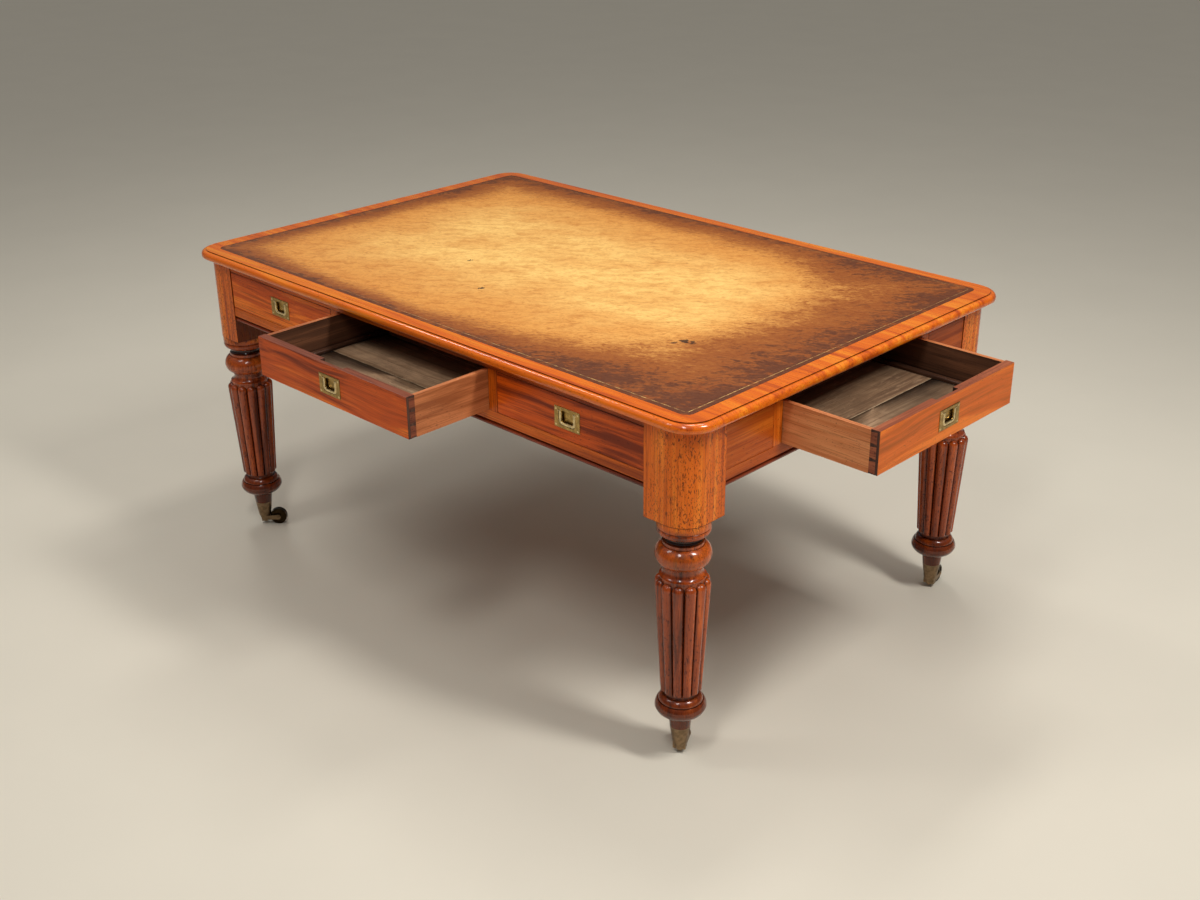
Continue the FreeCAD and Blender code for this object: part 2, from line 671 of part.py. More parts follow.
def make_drawer_front(width):
    """A front with sockets for the dovetails, a seat for the pull and a lock recess behind its top edge."""
    half = width / 2
    high = front_floor + front_height
    front = block(-half, half, 0, FRONT_THICK, front_floor, high)
    for x0, x1 in side_ranges(width):
        front = cut_all(front, tail_shapes(x0, x1))
    pan = slab(pan_width + 2 * PAN_FIT, pan_low - PAN_FIT, pan_high + PAN_FIT, BAIL_CORNER + PAN_WALL, 0,
               pan_floor_y + PAN_FLOOR + PAN_FIT)
    seat = block(-plate_half - PAN_FIT, plate_half + PAN_FIT, 0, PLATE_THICK - PLATE_PROUD,
                 plate_low - PAN_FIT, plate_high + PAN_FIT)
    lock = block(-LOCK_WIDTH / 2, LOCK_WIDTH / 2, FRONT_THICK - LOCK_DEPTH, FRONT_THICK,
                 high - LOCK_HEIGHT, high)
    return cut_all(front, [pan, seat, lock] + plate_pins()).removeSplitter()


def make_drawer_box(width, depth):
    """Sides with dovetails, back, bottom boards and slips, as separate boards."""
    solids = []
    half = width / 2
    inner = half - SIDE_THICK
    for x0, x1 in side_ranges(width):
        side = block(x0, x1, FRONT_THICK, depth, side_floor, side_top)
        solids.append(side.fuse(tail_shapes(x0, x1)).removeSplitter())
    solids.append(block(-inner, inner, depth - BACK_THICK, depth, bottom_top, side_top - BACK_DROP))
    board = (depth - FRONT_THICK) / BOTTOM_BOARD_COUNT
    for i in range(BOTTOM_BOARD_COUNT):
        near = FRONT_THICK + i * board
        solids.append(block(-inner, inner, near, near + board, bottom_floor, bottom_top))
    for sign in (-1, 1):
        slip = block(inner - SLIP_WIDTH, inner, FRONT_THICK, depth - BACK_THICK,
                     bottom_top, bottom_top + SLIP_HEIGHT)
        crest = [e for e in edges_at(slip, bottom_top + SLIP_HEIGHT)
                 if abs(e.BoundBox.XMax - inner + SLIP_WIDTH) < 0.001]
        slip = slip.makeFillet(SLIP_ROUND, crest)
        solids.append(mirrored(slip, sign < 0, False))
    return solids


# Flush pulls on the drawer fronts
pan_inner = BAIL_WIDTH + 2 * BAIL_GAP
pan_width = pan_inner + 2 * PAN_WALL
bail_low = pull_middle - BAIL_HEIGHT / 2
bail_high = pull_middle + BAIL_HEIGHT / 2
pan_low = bail_low - BAIL_GAP - PAN_WALL
pan_high = bail_high + BAIL_GAP + PAN_WALL
plate_half = pan_width / 2 + PLATE_SIDE_FLANGE
plate_low = pan_low - PLATE_END_FLANGE
plate_high = pan_high + PLATE_END_FLANGE
trunnion_length = BAIL_GAP + PAN_WALL - TRUNNION_COVER


def plate_pins():
    """Four countersunk pins through the plate's corners into the drawer front."""
    face = -PLATE_PROUD
    pin = turned((PIN_HEAD_RADIUS, 0),
                 [(PIN_SHANK_RADIUS, -PLATE_THICK, 0), (PIN_SHANK_RADIUS, -PIN_LENGTH, 0)])
    pin.rotate(V(0, 0, 0), V(1, 0, 0), 90)
    x = plate_half - PLATE_SIDE_FLANGE / 2
    levels = (plate_low + PIN_INSET, plate_high - PIN_INSET)
    return [pin.translated(V(side * x, face, z)) for side in (-1, 1) for z in levels]


def make_pull_plate():
    """The plate with its sunk pan, bored for the bail's trunnions, and its pins."""
    face = -PLATE_PROUD
    plate = block(-plate_half, plate_half, face, face + PLATE_THICK, plate_low, plate_high)
    rim = [e for e in plate.Edges if abs(e.BoundBox.YMax - face) < 0.001]
    plate = plate.makeChamfer(PLATE_BEVEL, rim)
    pan = slab(pan_width, pan_low, pan_high, BAIL_CORNER + PAN_WALL, face, pan_floor_y + PAN_FLOOR)
    hollow = slab(pan_inner, bail_low - BAIL_GAP, bail_high + BAIL_GAP, BAIL_CORNER + BAIL_GAP,
                  face, pan_floor_y)
    reach = BAIL_WIDTH / 2 + trunnion_length + BAIL_GAP
    bore = Part.makeCylinder(TRUNNION_RADIUS + RUNNING_FIT, 2 * reach, V(-reach, trunnion_y, trunnion_z),
                             V(1, 0, 0))
    pins = plate_pins()
    return [cut_all(plate.fuse(pan), [hollow, bore] + pins).removeSplitter()] + pins


def make_pull_bail():
    """The U-shaped bail that hangs in the pan from two trunnions."""
    near = -PLATE_PROUD
    outer = slab(BAIL_WIDTH, bail_low, trunnion_z, BAIL_CORNER, near, near + BAIL_THICK)
    window = slab(BAIL_WIDTH - 2 * BAIL_BAR, bail_low + BAIL_BAR, bail_high, BAIL_INNER_CORNER,
                  near, near + BAIL_THICK)
    bail = outer.cut(window)
    for sign in (-1, 1):
        tip = sign * (BAIL_WIDTH / 2 + trunnion_length)
        root = sign * (BAIL_WIDTH / 2 - BAIL_BAR)
        pin = Part.makeCylinder(TRUNNION_RADIUS, abs(tip - root), V(root, trunnion_y, trunnion_z),
                                V(sign, 0, 0))
        knuckle = Part.makeCylinder(BAIL_THICK / 2, BAIL_BAR, V(root, trunnion_y, trunnion_z),
                                    V(sign, 0, 0))
        bail = bail.fuse([knuckle, pin])
    return bail.removeSplitter()


# Where each drawer and castor goes
def drawer_place(name, turn, face, centre, opening, depth, pulled):
    return {"name": name, "turn": turn, "face": face, "centre": centre, "depth": depth,
            "width": opening - 2 * DRAWER_GAP, "pulled": pulled}


DRAWERS = [
    drawer_place("front_left", 0, frieze_y, -corner_centre, corner_opening, corner_depth, 0),
    drawer_place("front_middle", 0, frieze_y, 0, MIDDLE_OPENING, middle_depth, FRONT_PULLED),
    drawer_place("front_right", 0, frieze_y, corner_centre, corner_opening, corner_depth, 0),
    drawer_place("right_end", 90, frieze_x, 0, end_opening, end_depth, END_PULLED),
    drawer_place("back_right", 180, frieze_y, -corner_centre, corner_opening, corner_depth, 0),
    drawer_place("back_middle", 180, frieze_y, 0, MIDDLE_OPENING, middle_depth, 0),
    drawer_place("back_left", 180, frieze_y, corner_centre, corner_opening, corner_depth, 0),
    drawer_place("left_end", 270, frieze_x, 0, end_opening, end_depth, 0),
]
CASTORS = [
    {"name": "front_left", "side_x": -1, "side_y": -1, "trail": TRAIL_FRONT_LEFT},
    {"name": "front_right", "side_x": 1, "side_y": -1, "trail": TRAIL_FRONT_RIGHT},
    {"name": "back_left", "side_x": -1, "side_y": 1, "trail": TRAIL_BACK_LEFT},
    {"name": "back_right", "side_x": 1, "side_y": 1, "trail": TRAIL_BACK_RIGHT},
]


# Assembly
def frame_nodes():
    dividers = make_dividers()
    stiles = make_stiles()
    uprights = dividers + stiles
    screws = top_screw_shapes()
    long_low = on_both(long_rail(rail_floor, opening_floor), False, True)
    end_low = on_both(end_rail(rail_floor, opening_floor), True, False)
    long_high = on_both(long_rail(opening_top, under_top), False, True)
    end_high = on_both(end_rail(opening_top, under_top), True, False)
    rails = long_low + end_low + long_high + end_high
    leg = make_leg(rails)
    nodes = {"top": make_top(), "leather": make_leather()}
    for castor in CASTORS:
        nodes[castor["name"] + "_leg"] = mirrored(leg, castor["side_x"] > 0, castor["side_y"] > 0)
    nodes["castor_cups"] = group([at_leg(make_cup(), castor) for castor in CASTORS])
    nodes["castor_pivots"] = group([at_leg(make_pivot(), castor) for castor in CASTORS])
    nodes["long_lower_rails"] = group([cut_all(rail, uprights) for rail in long_low])
    nodes["end_lower_rails"] = group([cut_all(rail, uprights) for rail in end_low])
    nodes["upper_rails"] = group([cut_all(rail, uprights + screws) for rail in long_high + end_high])
    nodes["drawer_dividers"] = group(dividers)
    nodes["end_stiles"] = group(stiles)
    nodes["end_panels"] = group(make_panels())
    nodes["rail_beads"] = group(make_beads())
    nodes["drawer_runners"] = group(make_runners())
    nodes["drawer_guides"] = group(make_guides())
    nodes["drawer_kickers"] = group(cross_strips(opening_top, under_top))
    nodes["drawer_stops"] = group(make_stops())
    nodes["top_screws"] = group(screws)
    return nodes


def castor_nodes():
    nodes = {}
    for castor in CASTORS:
        nodes["castor_horn_" + castor["name"]] = group([at_leg(part, castor) for part in make_horn()])
        nodes["castor_wheel_" + castor["name"]] = at_leg(make_wheel(), castor)
    return nodes


def drawer_nodes():
    nodes = {}
    for drawer in DRAWERS:
        pieces = {"front": [make_drawer_front(drawer["width"])],
                  "box": make_drawer_box(drawer["width"], drawer["depth"]),
                  "pull_plate": make_pull_plate(),
                  "pull_bail": [make_pull_bail()]}
        for piece, solids in pieces.items():
            shapes = [placed(solid, drawer, drawer["pulled"]) for solid in solids]
            nodes[drawer["name"] + "_drawer_" + piece] = group(shapes) if len(shapes) > 1 else shapes[0]
    return nodes


os.makedirs("parts", exist_ok=True)
NODES = {**frame_nodes(), **castor_nodes(), **drawer_nodes()}
for node, shape in NODES.items():
    shape.translate(origin * -1)
    shape.exportStep("parts/" + node + ".step")
print(len(NODES), "nodes", sum(len(shape.Solids) for shape in NODES.values()), "solids")
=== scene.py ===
import functools
import json
import math

import bmesh
import bpy
from bpy.props import FloatProperty, FloatVectorProperty, IntProperty, PointerProperty
from bpy.types import Operator, Panel, PropertyGroup
from mathutils import Euler, Matrix, Vector


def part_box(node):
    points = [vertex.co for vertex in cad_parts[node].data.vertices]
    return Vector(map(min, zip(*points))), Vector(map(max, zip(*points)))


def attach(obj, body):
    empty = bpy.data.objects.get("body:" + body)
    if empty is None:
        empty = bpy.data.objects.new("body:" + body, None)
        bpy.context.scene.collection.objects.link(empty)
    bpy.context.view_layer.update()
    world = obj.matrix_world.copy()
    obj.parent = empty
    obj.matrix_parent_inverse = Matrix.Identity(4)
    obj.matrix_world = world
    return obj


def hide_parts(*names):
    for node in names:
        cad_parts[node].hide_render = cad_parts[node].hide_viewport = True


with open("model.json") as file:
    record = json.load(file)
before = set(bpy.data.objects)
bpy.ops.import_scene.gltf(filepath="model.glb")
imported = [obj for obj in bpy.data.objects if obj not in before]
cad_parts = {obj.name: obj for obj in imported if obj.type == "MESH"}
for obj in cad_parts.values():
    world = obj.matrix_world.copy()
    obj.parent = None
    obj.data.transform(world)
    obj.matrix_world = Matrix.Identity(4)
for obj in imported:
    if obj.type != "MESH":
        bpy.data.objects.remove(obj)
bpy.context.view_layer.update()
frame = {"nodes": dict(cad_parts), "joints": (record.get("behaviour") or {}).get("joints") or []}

bl_info = {
    "name": "Partners desk",
    "version": (1, 0, 0),
    "blender": (4, 5, 0),
    "location": "View3D > Sidebar > Desk",
    "description": "Finishes a leather-topped partners desk: woods, hide, brass and studio",
    "category": "Add Mesh",
}

TOP_LOW, TOP_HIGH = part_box("top")
HIDE_LOW, HIDE_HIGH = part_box("leather")
CENTRE = Vector(((TOP_LOW.x + TOP_HIGH.x) / 2, (TOP_LOW.y + TOP_HIGH.y) / 2, 0))
JOINTS = {joint["name"]: joint for joint in frame["joints"]}
DRAWERS = [name[:-len("_drawer_slide")] for name in JOINTS if name.endswith("_drawer_slide")]
CORNERS = [name[len("castor_swivel_"):] for name in JOINTS if name.startswith("castor_swivel_")]


def tone(red, green, blue):
    """A colour from its 0 to 255 display values."""
    return tuple(((v / 255 + 0.055) / 1.055) ** 2.4 for v in (red, green, blue))


def colour(name, *display):
    return FloatVectorProperty(name=name, description=name + " colour", default=tone(*display),
                               subtype="COLOR", size=3, min=0, max=1)


def length(name, description, default):
    return FloatProperty(name=name, description=description, default=default, min=0, unit="LENGTH")


def share(name, description, default):
    return FloatProperty(name=name, description=description, default=default, min=0, max=1,
                         subtype="FACTOR")


class Shade:
    """One material and the nodes that make it."""

    def __init__(self, name):
        self.material = bpy.data.materials.new(name)
        self.material.use_nodes = True
        self.tree = self.material.node_tree
        self.tree.nodes.clear()
        self.surface = self.node("ShaderNodeBsdfPrincipled")
        output = self.node("ShaderNodeOutputMaterial")
        self.feed(output.inputs["Surface"], self.surface.outputs[0])
        self.place = self.node("ShaderNodeTexCoord").outputs["Object"]

    def feed(self, socket, value):
        if isinstance(value, bpy.types.NodeSocket):
            self.tree.links.new(value, socket)
        else:
            socket.default_value = value

    def node(self, kind, inputs=None, **settings):
        made = self.tree.nodes.new(kind)
        for key, value in settings.items():
            setattr(made, key, value)
        for key, value in (inputs or {}).items():
            self.feed(made.inputs[key], value)
        return made

    def set(self, **inputs):
        """Feeds the surface: base_color=... goes to its Base Color."""
        for key, value in inputs.items():
            names = {"ior": "IOR", "coat_ior": "Coat IOR", "specular_ior_level": "Specular IOR Level"}
            self.feed(self.surface.inputs[names.get(key, key.replace("_", " ").title())], value)

    def math(self, operation, a, b=0.0, clamp=False):
        return self.node("ShaderNodeMath", {0: a, 1: b}, operation=operation, use_clamp=clamp).outputs[0]

    def vector(self, operation, a, b):
        return self.node("ShaderNodeVectorMath", {0: a, 1: b}, operation=operation).outputs[0]

    def level(self, value, low, high, to_low=0.0, to_high=1.0):
        """Turns low to high of a value into to_low to to_high, smoothly."""
        made = self.node("ShaderNodeMapRange", {"Value": value, "From Min": low, "From Max": high,
                                                "To Min": to_low, "To Max": to_high},
                         interpolation_type="SMOOTHSTEP")
        return made.outputs["Result"]

    def mix(self, factor, a, b, blend="MIX"):
        made = self.node("ShaderNodeMix", data_type="RGBA", blend_type=blend, clamp_factor=True)
        for index, value in ((0, factor), (6, a), (7, b)):
            plain = index and not isinstance(value, bpy.types.NodeSocket)
            self.feed(made.inputs[index], (*value, 1) if plain and len(value) == 3 else value)
        return made.outputs[2]

    def ramp(self, factor, *stops):
        made = self.node("ShaderNodeValToRGB", {"Fac": factor})
        band = made.color_ramp
        band.interpolation = "EASE"
        while len(band.elements) < len(stops):
            band.elements.new(1.0)
        for element, (position, shade) in zip(band.elements, stops):
            element.position = position
            element.color = (*shade, 1)
        return made.outputs["Color"]

    def turned(self, axis, offset=(0, 0, 0)):
        """Object coordinates with the given axis laid along X."""
        turn = {"X": (0, 0, 0), "Y": (0, 0, -math.pi / 2), "Z": (0, math.pi / 2, 0)}[axis]
        return self.node("ShaderNodeMapping", {"Vector": self.place, "Rotation": turn,
                                               "Location": offset}).outputs[0]

    def stretch(self, vector, along, across):
        return self.node("ShaderNodeMapping", {"Vector": vector, "Scale": (along, across, across)}).outputs[0]

    def noise(self, vector, scale=1.0, detail=3.0, roughness=0.55, output="Fac"):
        return self.node("ShaderNodeTexNoise", {"Vector": vector, "Scale": scale, "Detail": detail,
                                                "Roughness": roughness}).outputs[output]

    def hollow(self, distance):
        """How enclosed a place is by its own piece: 0 in the open, 1 deep in a groove."""
        made = self.node("ShaderNodeAmbientOcclusion", {"Distance": distance}, samples=8, only_local=True)
        return self.math("SUBTRACT", 1.0, made.outputs["AO"])

    def arris(self, distance):
        """How near a place is to an outer edge of its own piece."""
        made = self.node("ShaderNodeAmbientOcclusion", {"Distance": distance}, samples=8, only_local=True,
                         inside=True)
        return self.math("SUBTRACT", 1.0, made.outputs["AO"])

    def bump(self, height, strength, distance):
        made = self.node("ShaderNodeBump", {"Height": height, "Strength": strength, "Distance": distance})
        self.feed(self.surface.inputs["Normal"], made.outputs[0])


def wood_group(key, label, light, middle, dark, roughness, coat, figure, specks):
    """The settings of one wood."""
    fields = {
        "light": colour(label + " light grain", *light),
        "middle": colour(label + " middle", *middle),
        "dark": colour(label + " dark grain", *dark),
        "roughness": share("Roughness", "How dull the " + label.lower() + " is", roughness),
        "coat": share("Polish", "How much polish lies on the " + label.lower(), coat),
        "figure": length("Figure", "How far the grain wanders", figure),
        "specks": share("Specks", "How strong the short dark pores are", specks),
    }
    return type(key, (PropertyGroup,), {"__annotations__": fields, "__doc__": label + " settings"})


TopWood = wood_group("TopWood", "Top wood", (246, 138, 28), (230, 108, 10), (190, 76, 4), 0.26, 0.8, 0.05, 0.6)
PostWood = wood_group("PostWood", "Post wood", (255, 146, 46), (230, 110, 22), (172, 68, 10), 0.42, 0.08, 0.02, 1.0)
TurnedWood = wood_group("TurnedWood", "Turned wood", (210, 98, 34), (160, 66, 20), (88, 32, 9), 0.22, 0.6, 0.02, 0.8)
FriezeWood = wood_group("FriezeWood", "Frieze wood", (236, 126, 34), (202, 92, 14), (138, 52, 4), 0.38, 0.08, 0.04, 0.5)
BeadWood = wood_group("BeadWood", "Bead wood", (168, 76, 38), (130, 52, 24), (78, 28, 12), 0.3, 0.4, 0.02, 0.3)
FrontWood = wood_group("FrontWood", "Drawer front wood", (250, 128, 26), (206, 82, 8), (122, 40, 2), 0.36, 0.06, 0.1, 0.45)
EndWood = wood_group("EndWood", "End grain", (96, 64, 50), (68, 44, 35), (42, 27, 22), 0.5, 0.1, 0.02, 0.6)
SideWood = wood_group("SideWood", "Drawer side wood", (224, 152, 98), (198, 120, 72), (152, 84, 46), 0.5, 0.1, 0.04, 0.4)
StainWood = wood_group("StainWood", "Dovetail wood", (168, 94, 60), (136, 70, 44), (90, 44, 28), 0.45, 0.2, 0.03, 0.8)
LiningWood = wood_group("LiningWood", "Drawer lining", (124, 80, 54), (86, 54, 36), (52, 30, 18), 0.5, 0.1, 0.03, 0.3)
FloorWood = wood_group("FloorWood", "Drawer bottom", (194, 158, 122), (160, 126, 94), (112, 84, 62), 0.62, 0.0, 0.05, 0.5)
InnerWood = wood_group("InnerWood", "Inner frame wood", (158, 112, 76), (124, 82, 52), (86, 52, 32), 0.6, 0.0, 0.03, 0.2)


class HideSettings(PropertyGroup):
    """The leather and its tooling."""
    corner: length("Corner", "Rounding of the leather's corners", 0.018)
    tooling: length("Tooling", "Distance of the tooled line from the leather's edge", 0.0125)
    line: length("Line", "Width of the tooled line", 0.0012)
    groove: length("Groove", "Depth of the tooled line", 0.0003)
    edge: length("Edge", "Rounding of the leather's cut edge", 0.0004)
    bright: colour("Rubbed hide", 255, 206, 120)
    tan: colour("Tan hide", 226, 154, 72)
    brown: colour("Brown hide", 158, 88, 34)
    dark: colour("Dark hide", 104, 56, 30)
    gold: colour("Gold line", 240, 196, 118)


class BrassSettings(PropertyGroup):
    """Brass of the pulls and the castors."""
    bright: colour("Rubbed brass", 236, 212, 160)
    dull: colour("Dull brass", 186, 154, 92)
    aged: colour("Aged castor brass", 146, 122, 94)
    grime: colour("Grime", 58, 44, 26)
    bar_edge: length("Bar edge", "Rounding of the bails' edges", 0.0013)
    bar: length("Bar", "Width of the bails' bars", 0.006)
    outer_corner: length("Outer corner", "Rounding of the bails' outer corners", 0.009)
    inner_corner: length("Inner corner", "Rounding of the bails' inner corners", 0.004)
    pin_radius: length("Pin radius", "Radius of the pins' heads", 0.0022)
    pin_inset: length("Pin inset", "Distance of the pins from the plate's edges", 0.005)
    pin_height: length("Pin height", "Height of the pins' heads", 0.0004)


class EdgeSettings(PropertyGroup):
    """Rounding of the boards' edges."""
    board: length("Boards", "Rounding of the frame's edges", 0.0007)
    front: length("Drawer fronts", "Rounding of the drawer fronts' edges", 0.001)
    joint: length("Joints", "Width of the rubbed joints in the drawer bottoms", 0.0022)
    steps: IntProperty(name="Steps", description="Faces across a rounded edge", default=2, min=1, max=6)


class StageSettings(PropertyGroup):
    """Floor, light and camera."""
    floor: colour("Floor", 228, 219, 200)
    horizon: FloatProperty(name="Horizon", description="Light from low down", default=0.1, min=0)
    zenith: FloatProperty(name="Zenith", description="Light from overhead", default=0.4, min=0)
    panel: FloatProperty(name="Panels", description="Power of each ceiling panel", default=23, min=0,
                         unit="POWER")
    camera: FloatVectorProperty(name="Camera", description="Camera's place from the desk's middle",
                                default=(2.3059, -2.2950, 1.7802), subtype="XYZ", unit="LENGTH")
    aim: FloatVectorProperty(name="Aim", description="Camera's pitch, roll and heading",
                             default=tuple(math.radians(v) for v in (65.31, -0.48, 44.34)),
                             subtype="EULER")
    lens: FloatProperty(name="Lens", description="Focal length in millimetres", default=43.917, min=1)


WOODS = (TopWood, PostWood, TurnedWood, FriezeWood, BeadWood, FrontWood, EndWood, SideWood, StainWood,
         LiningWood, FloorWood, InnerWood)


class DeskSettings(PropertyGroup):
    """All settings of the desk."""
    hide: PointerProperty(type=HideSettings, name="Hide", description="Leather settings")
    brass: PointerProperty(type=BrassSettings, name="Brass", description="Brass settings")
    edges: PointerProperty(type=EdgeSettings, name="Edges", description="Edge settings")
    stage: PointerProperty(type=StageSettings, name="Stage", description="Stage settings")
    top: PointerProperty(type=TopWood, name="Top", description="Wood of the top")
    post: PointerProperty(type=PostWood, name="Posts", description="Wood of the legs' posts")
    turned: PointerProperty(type=TurnedWood, name="Turned", description="Wood of the legs' turning")
    frieze: PointerProperty(type=FriezeWood, name="Frieze", description="Wood of the frieze")
    bead: PointerProperty(type=BeadWood, name="Bead", description="Wood of the bead mouldings")
    front: PointerProperty(type=FrontWood, name="Fronts", description="Wood of the drawer fronts")
    end: PointerProperty(type=EndWood, name="End grain", description="End grain of the drawer fronts")
    side: PointerProperty(type=SideWood, name="Sides", description="Wood outside the drawers")
    stain: PointerProperty(type=StainWood, name="Dovetails", description="Stained wood of the dovetails")
    lining: PointerProperty(type=LiningWood, name="Lining", description="Wood inside the drawers")
    floor: PointerProperty(type=FloorWood, name="Bottoms", description="Wood of the drawer bottoms")
    inner: PointerProperty(type=InnerWood, name="Inner frame", description="Wood of the inner frame")


def settings():
    return bpy.context.scene.desk


def scaled(shade, factor):
    return tuple(v * factor for v in shade)


# Materials
def grain_colour(shade, look, axis, offset=(0, 0, 0), bands=15.0):
    """Colour, streaks and fine lines of a wood whose grain runs along an axis."""
    grain = shade.turned(axis, offset)
    waver = shade.noise(shade.stretch(grain, 1.8, 6.0), detail=2.0, output="Color")
    drift = shade.vector("MULTIPLY", shade.vector("SUBTRACT", waver, (0.5, 0.5, 0.5)),
                         (look.figure, look.figure, look.figure))
    bent = shade.vector("ADD", grain, drift)
    broad = shade.noise(shade.stretch(bent, 0.9, bands), detail=3.0)
    streak = shade.noise(shade.stretch(bent, 2.4, 85.0), detail=5.0, roughness=0.62)
    fine = shade.noise(shade.stretch(grain, 9.0, 480.0), detail=3.0)
    blend = shade.math("ADD", shade.math("MULTIPLY", broad, 0.55), shade.math("MULTIPLY", streak, 0.45))
    base = shade.ramp(blend, (0.37, look.dark), (0.49, look.middle), (0.62, look.light))
    lines = shade.level(fine, 0.52, 0.7, 0.0, 0.55)
    base = shade.mix(lines, base, scaled(look.dark, 0.7))
    pores = shade.noise(shade.stretch(grain, 150.0, 420.0), detail=3.0)
    patches = shade.noise(shade.stretch(grain, 5.0, 12.0), detail=2.0)
    least = 0.66 - 0.1 * look.specks
    speck = shade.math("MULTIPLY", shade.level(pores, least, least + 0.07), shade.level(patches, 0.36, 0.58))
    base = shade.mix(shade.math("MULTIPLY", speck, 0.4 + 0.5 * look.specks), base, scaled(look.dark, 0.3))
    return base, streak, fine


def polish(shade, look, base, streak, fine, deep=0.007, shade_and_dirt=0.8, relief=0.1, coat=None):
    """Ends a wood: dirt in the corners, gloss and relief."""
    # Painted shade, partly dirt: the wood darkens where its own piece encloses it, in corners and grooves.
    base = shade.mix(shade.level(shade.hollow(deep), 0.1, 0.65, 0.0, shade_and_dirt), base, scaled(look.dark, 0.16))
    shade.set(base_color=base, roughness=shade.level(streak, 0.3, 0.7, look.roughness + 0.07,
                                                     look.roughness - 0.05),
              coat_weight=look.coat if coat is None else coat, coat_roughness=0.06, specular_ior_level=0.2)
    height = shade.math("ADD", shade.math("MULTIPLY", streak, 0.6), shade.math("MULTIPLY", fine, 0.4))
    shade.bump(height, relief, 0.0006)
    return shade.material


@functools.lru_cache(maxsize=None)
def wood(key, axis):
    """A wood with its grain along an axis."""
    look = getattr(settings(), key)
    shade = Shade(key + "_wood_" + axis)
    base, streak, fine = grain_colour(shade, look, axis)
    # Painted light: drawer fronts facing the ends are tinted lighter. Painted shade: the frieze's end boards are
    # darkened.
    if axis == "Y" and key in ("front", "frieze"):
        base = shade.mix(0.35, base, tone(250, 136, 42) if key == "front" else look.dark)
    if key in ("front", "frieze"):
        base = shade.mix(shade.level(shade.arris(0.0035), 0.3, 0.7, 0.0, 0.75), base, scaled(look.dark, 0.2))
    return polish(shade, look, base, streak, fine)


@functools.lru_cache(maxsize=None)
def floor_material(axis, worn):
    """A drawer's bottom board: dusty and blotched, or rubbed pale along a joint."""
    look = settings().floor
    shade = Shade("bottom_wood_" + axis + ("_joint" if worn else ""))
    base, streak, fine = grain_colour(shade, look, axis)
    blotch = shade.noise(shade.place, 9.0, 6.0, 0.62)
    base = shade.mix(shade.level(blotch, 0.38, 0.66, 0.45, 0.0), base, scaled(look.dark, 0.55))
    dust = shade.noise(shade.stretch(shade.turned(axis), 30.0, 120.0), detail=5.0)
    base = shade.mix(shade.level(dust, 0.52, 0.7, 0.0, 0.4), base, look.light)
    if worn:
        rubbed = shade.level(shade.noise(shade.place, 18.0, 4.0), 0.34, 0.54, 0.2, 0.85)
        base = shade.mix(rubbed, scaled(look.dark, 0.3), tone(204, 176, 140))
    return polish(shade, look, base, streak, fine)


@functools.lru_cache(maxsize=None)
def top_material():
    """The top: wood along X, with a dark line in its quirk and round the leather."""
    look = settings().top
    shade = Shade("top_wood")
    base, streak, fine = grain_colour(shade, look, "X", bands=36.0)
    z = shade.node("ShaderNodeSeparateXYZ", {0: shade.place}).outputs["Z"]
    # Painted shade: a dark band on the step faces just below the top's surface, in the quirk and round the leather.
    above = shade.level(z, TOP_HIGH.z - 0.0021, TOP_HIGH.z - 0.0017)
    below = shade.level(z, TOP_HIGH.z - 0.0005, TOP_HIGH.z - 0.0002, 1.0, 0.0)
    base = shade.mix(shade.math("MULTIPLY", above, below), base, scaled(look.dark, 0.12))
    return polish(shade, look, base, streak, fine, relief=0.04)


@functools.lru_cache(maxsize=None)
def leg_material():
    """The legs: speckled orange posts, darker turning, and nearly black feet."""
    turned, post = settings().turned, settings().post
    shade = Shade("leg_wood")
    base, streak, fine = grain_colour(shade, turned, "Z")
    upper = grain_colour(shade, post, "Z", (0.37, 0.11, 0.0))[0]
    z = shade.node("ShaderNodeSeparateXYZ", {0: shade.place}).outputs["Z"]
    post_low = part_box("rail_beads")[0].z - 0.057
    # Painted highlight: the bulb is lightened toward the post's colour.
    bulb_highlight = shade.math("MULTIPLY", shade.level(z, post_low - 0.104, post_low - 0.096),
                      shade.level(z, post_low - 0.058, post_low - 0.051, 1.0, 0.0))
    base = shade.mix(shade.math("MULTIPLY", bulb_highlight, 0.18), base, upper)
    base = shade.mix(shade.level(z, post_low - 0.02, post_low - 0.001), base, upper)
    # Painted shadow: a thin dark line under the post's lower edge, where it steps in to the collar.
    line = shade.math("ABSOLUTE", shade.math("SUBTRACT", z, post_low))
    base = shade.mix(shade.level(line, 0.0004, 0.0012, 0.85, 0.0), base, scaled(turned.dark, 0.2))
    # Painted shade: the scotia between the lip and the bulb is made nearly black.
    hollow = shade.math("ABSOLUTE", shade.math("SUBTRACT", z, post_low - 0.039))
    base = shade.mix(shade.level(hollow, 0.005, 0.0085, 0.9, 0.0), base, scaled(turned.dark, 0.1))
    blots = shade.noise(shade.stretch(shade.turned("Z"), 60.0, 130.0), detail=5.0, roughness=0.7)
    base = shade.mix(shade.level(blots, 0.54, 0.7, 0.0, 0.8), base, scaled(turned.dark, 0.55))
    base = shade.mix(shade.level(z, 0.1, 0.2, 0.7, 0.0), base, scaled(turned.dark, 0.4))
    # Painted shade: post faces that look in under the desk are darkened.
    outward = shade.vector("SIGN", shade.vector("SUBTRACT", shade.place, tuple(CENTRE)), (0, 0, 0))
    facing = shade.vector("MULTIPLY", shade.node("ShaderNodeNewGeometry").outputs["Normal"], outward)
    facing = shade.node("ShaderNodeSeparateXYZ", {0: facing})
    inner = shade.math("MINIMUM", facing.outputs["X"], facing.outputs["Y"])
    inner = shade.math("MULTIPLY", shade.level(inner, -0.4, -0.9), shade.level(z, post_low - 0.01, post_low))
    base = shade.mix(shade.math("MULTIPLY", inner, 0.88), base, scaled(turned.dark, 0.5))
    coat = shade.level(z, post_low - 0.02, post_low - 0.001, turned.coat, post.coat)
    # Strong painted shade in the reed valleys and the grooves of the turning.
    return polish(shade, turned, base, streak, fine, 0.018, 0.95, coat=coat)


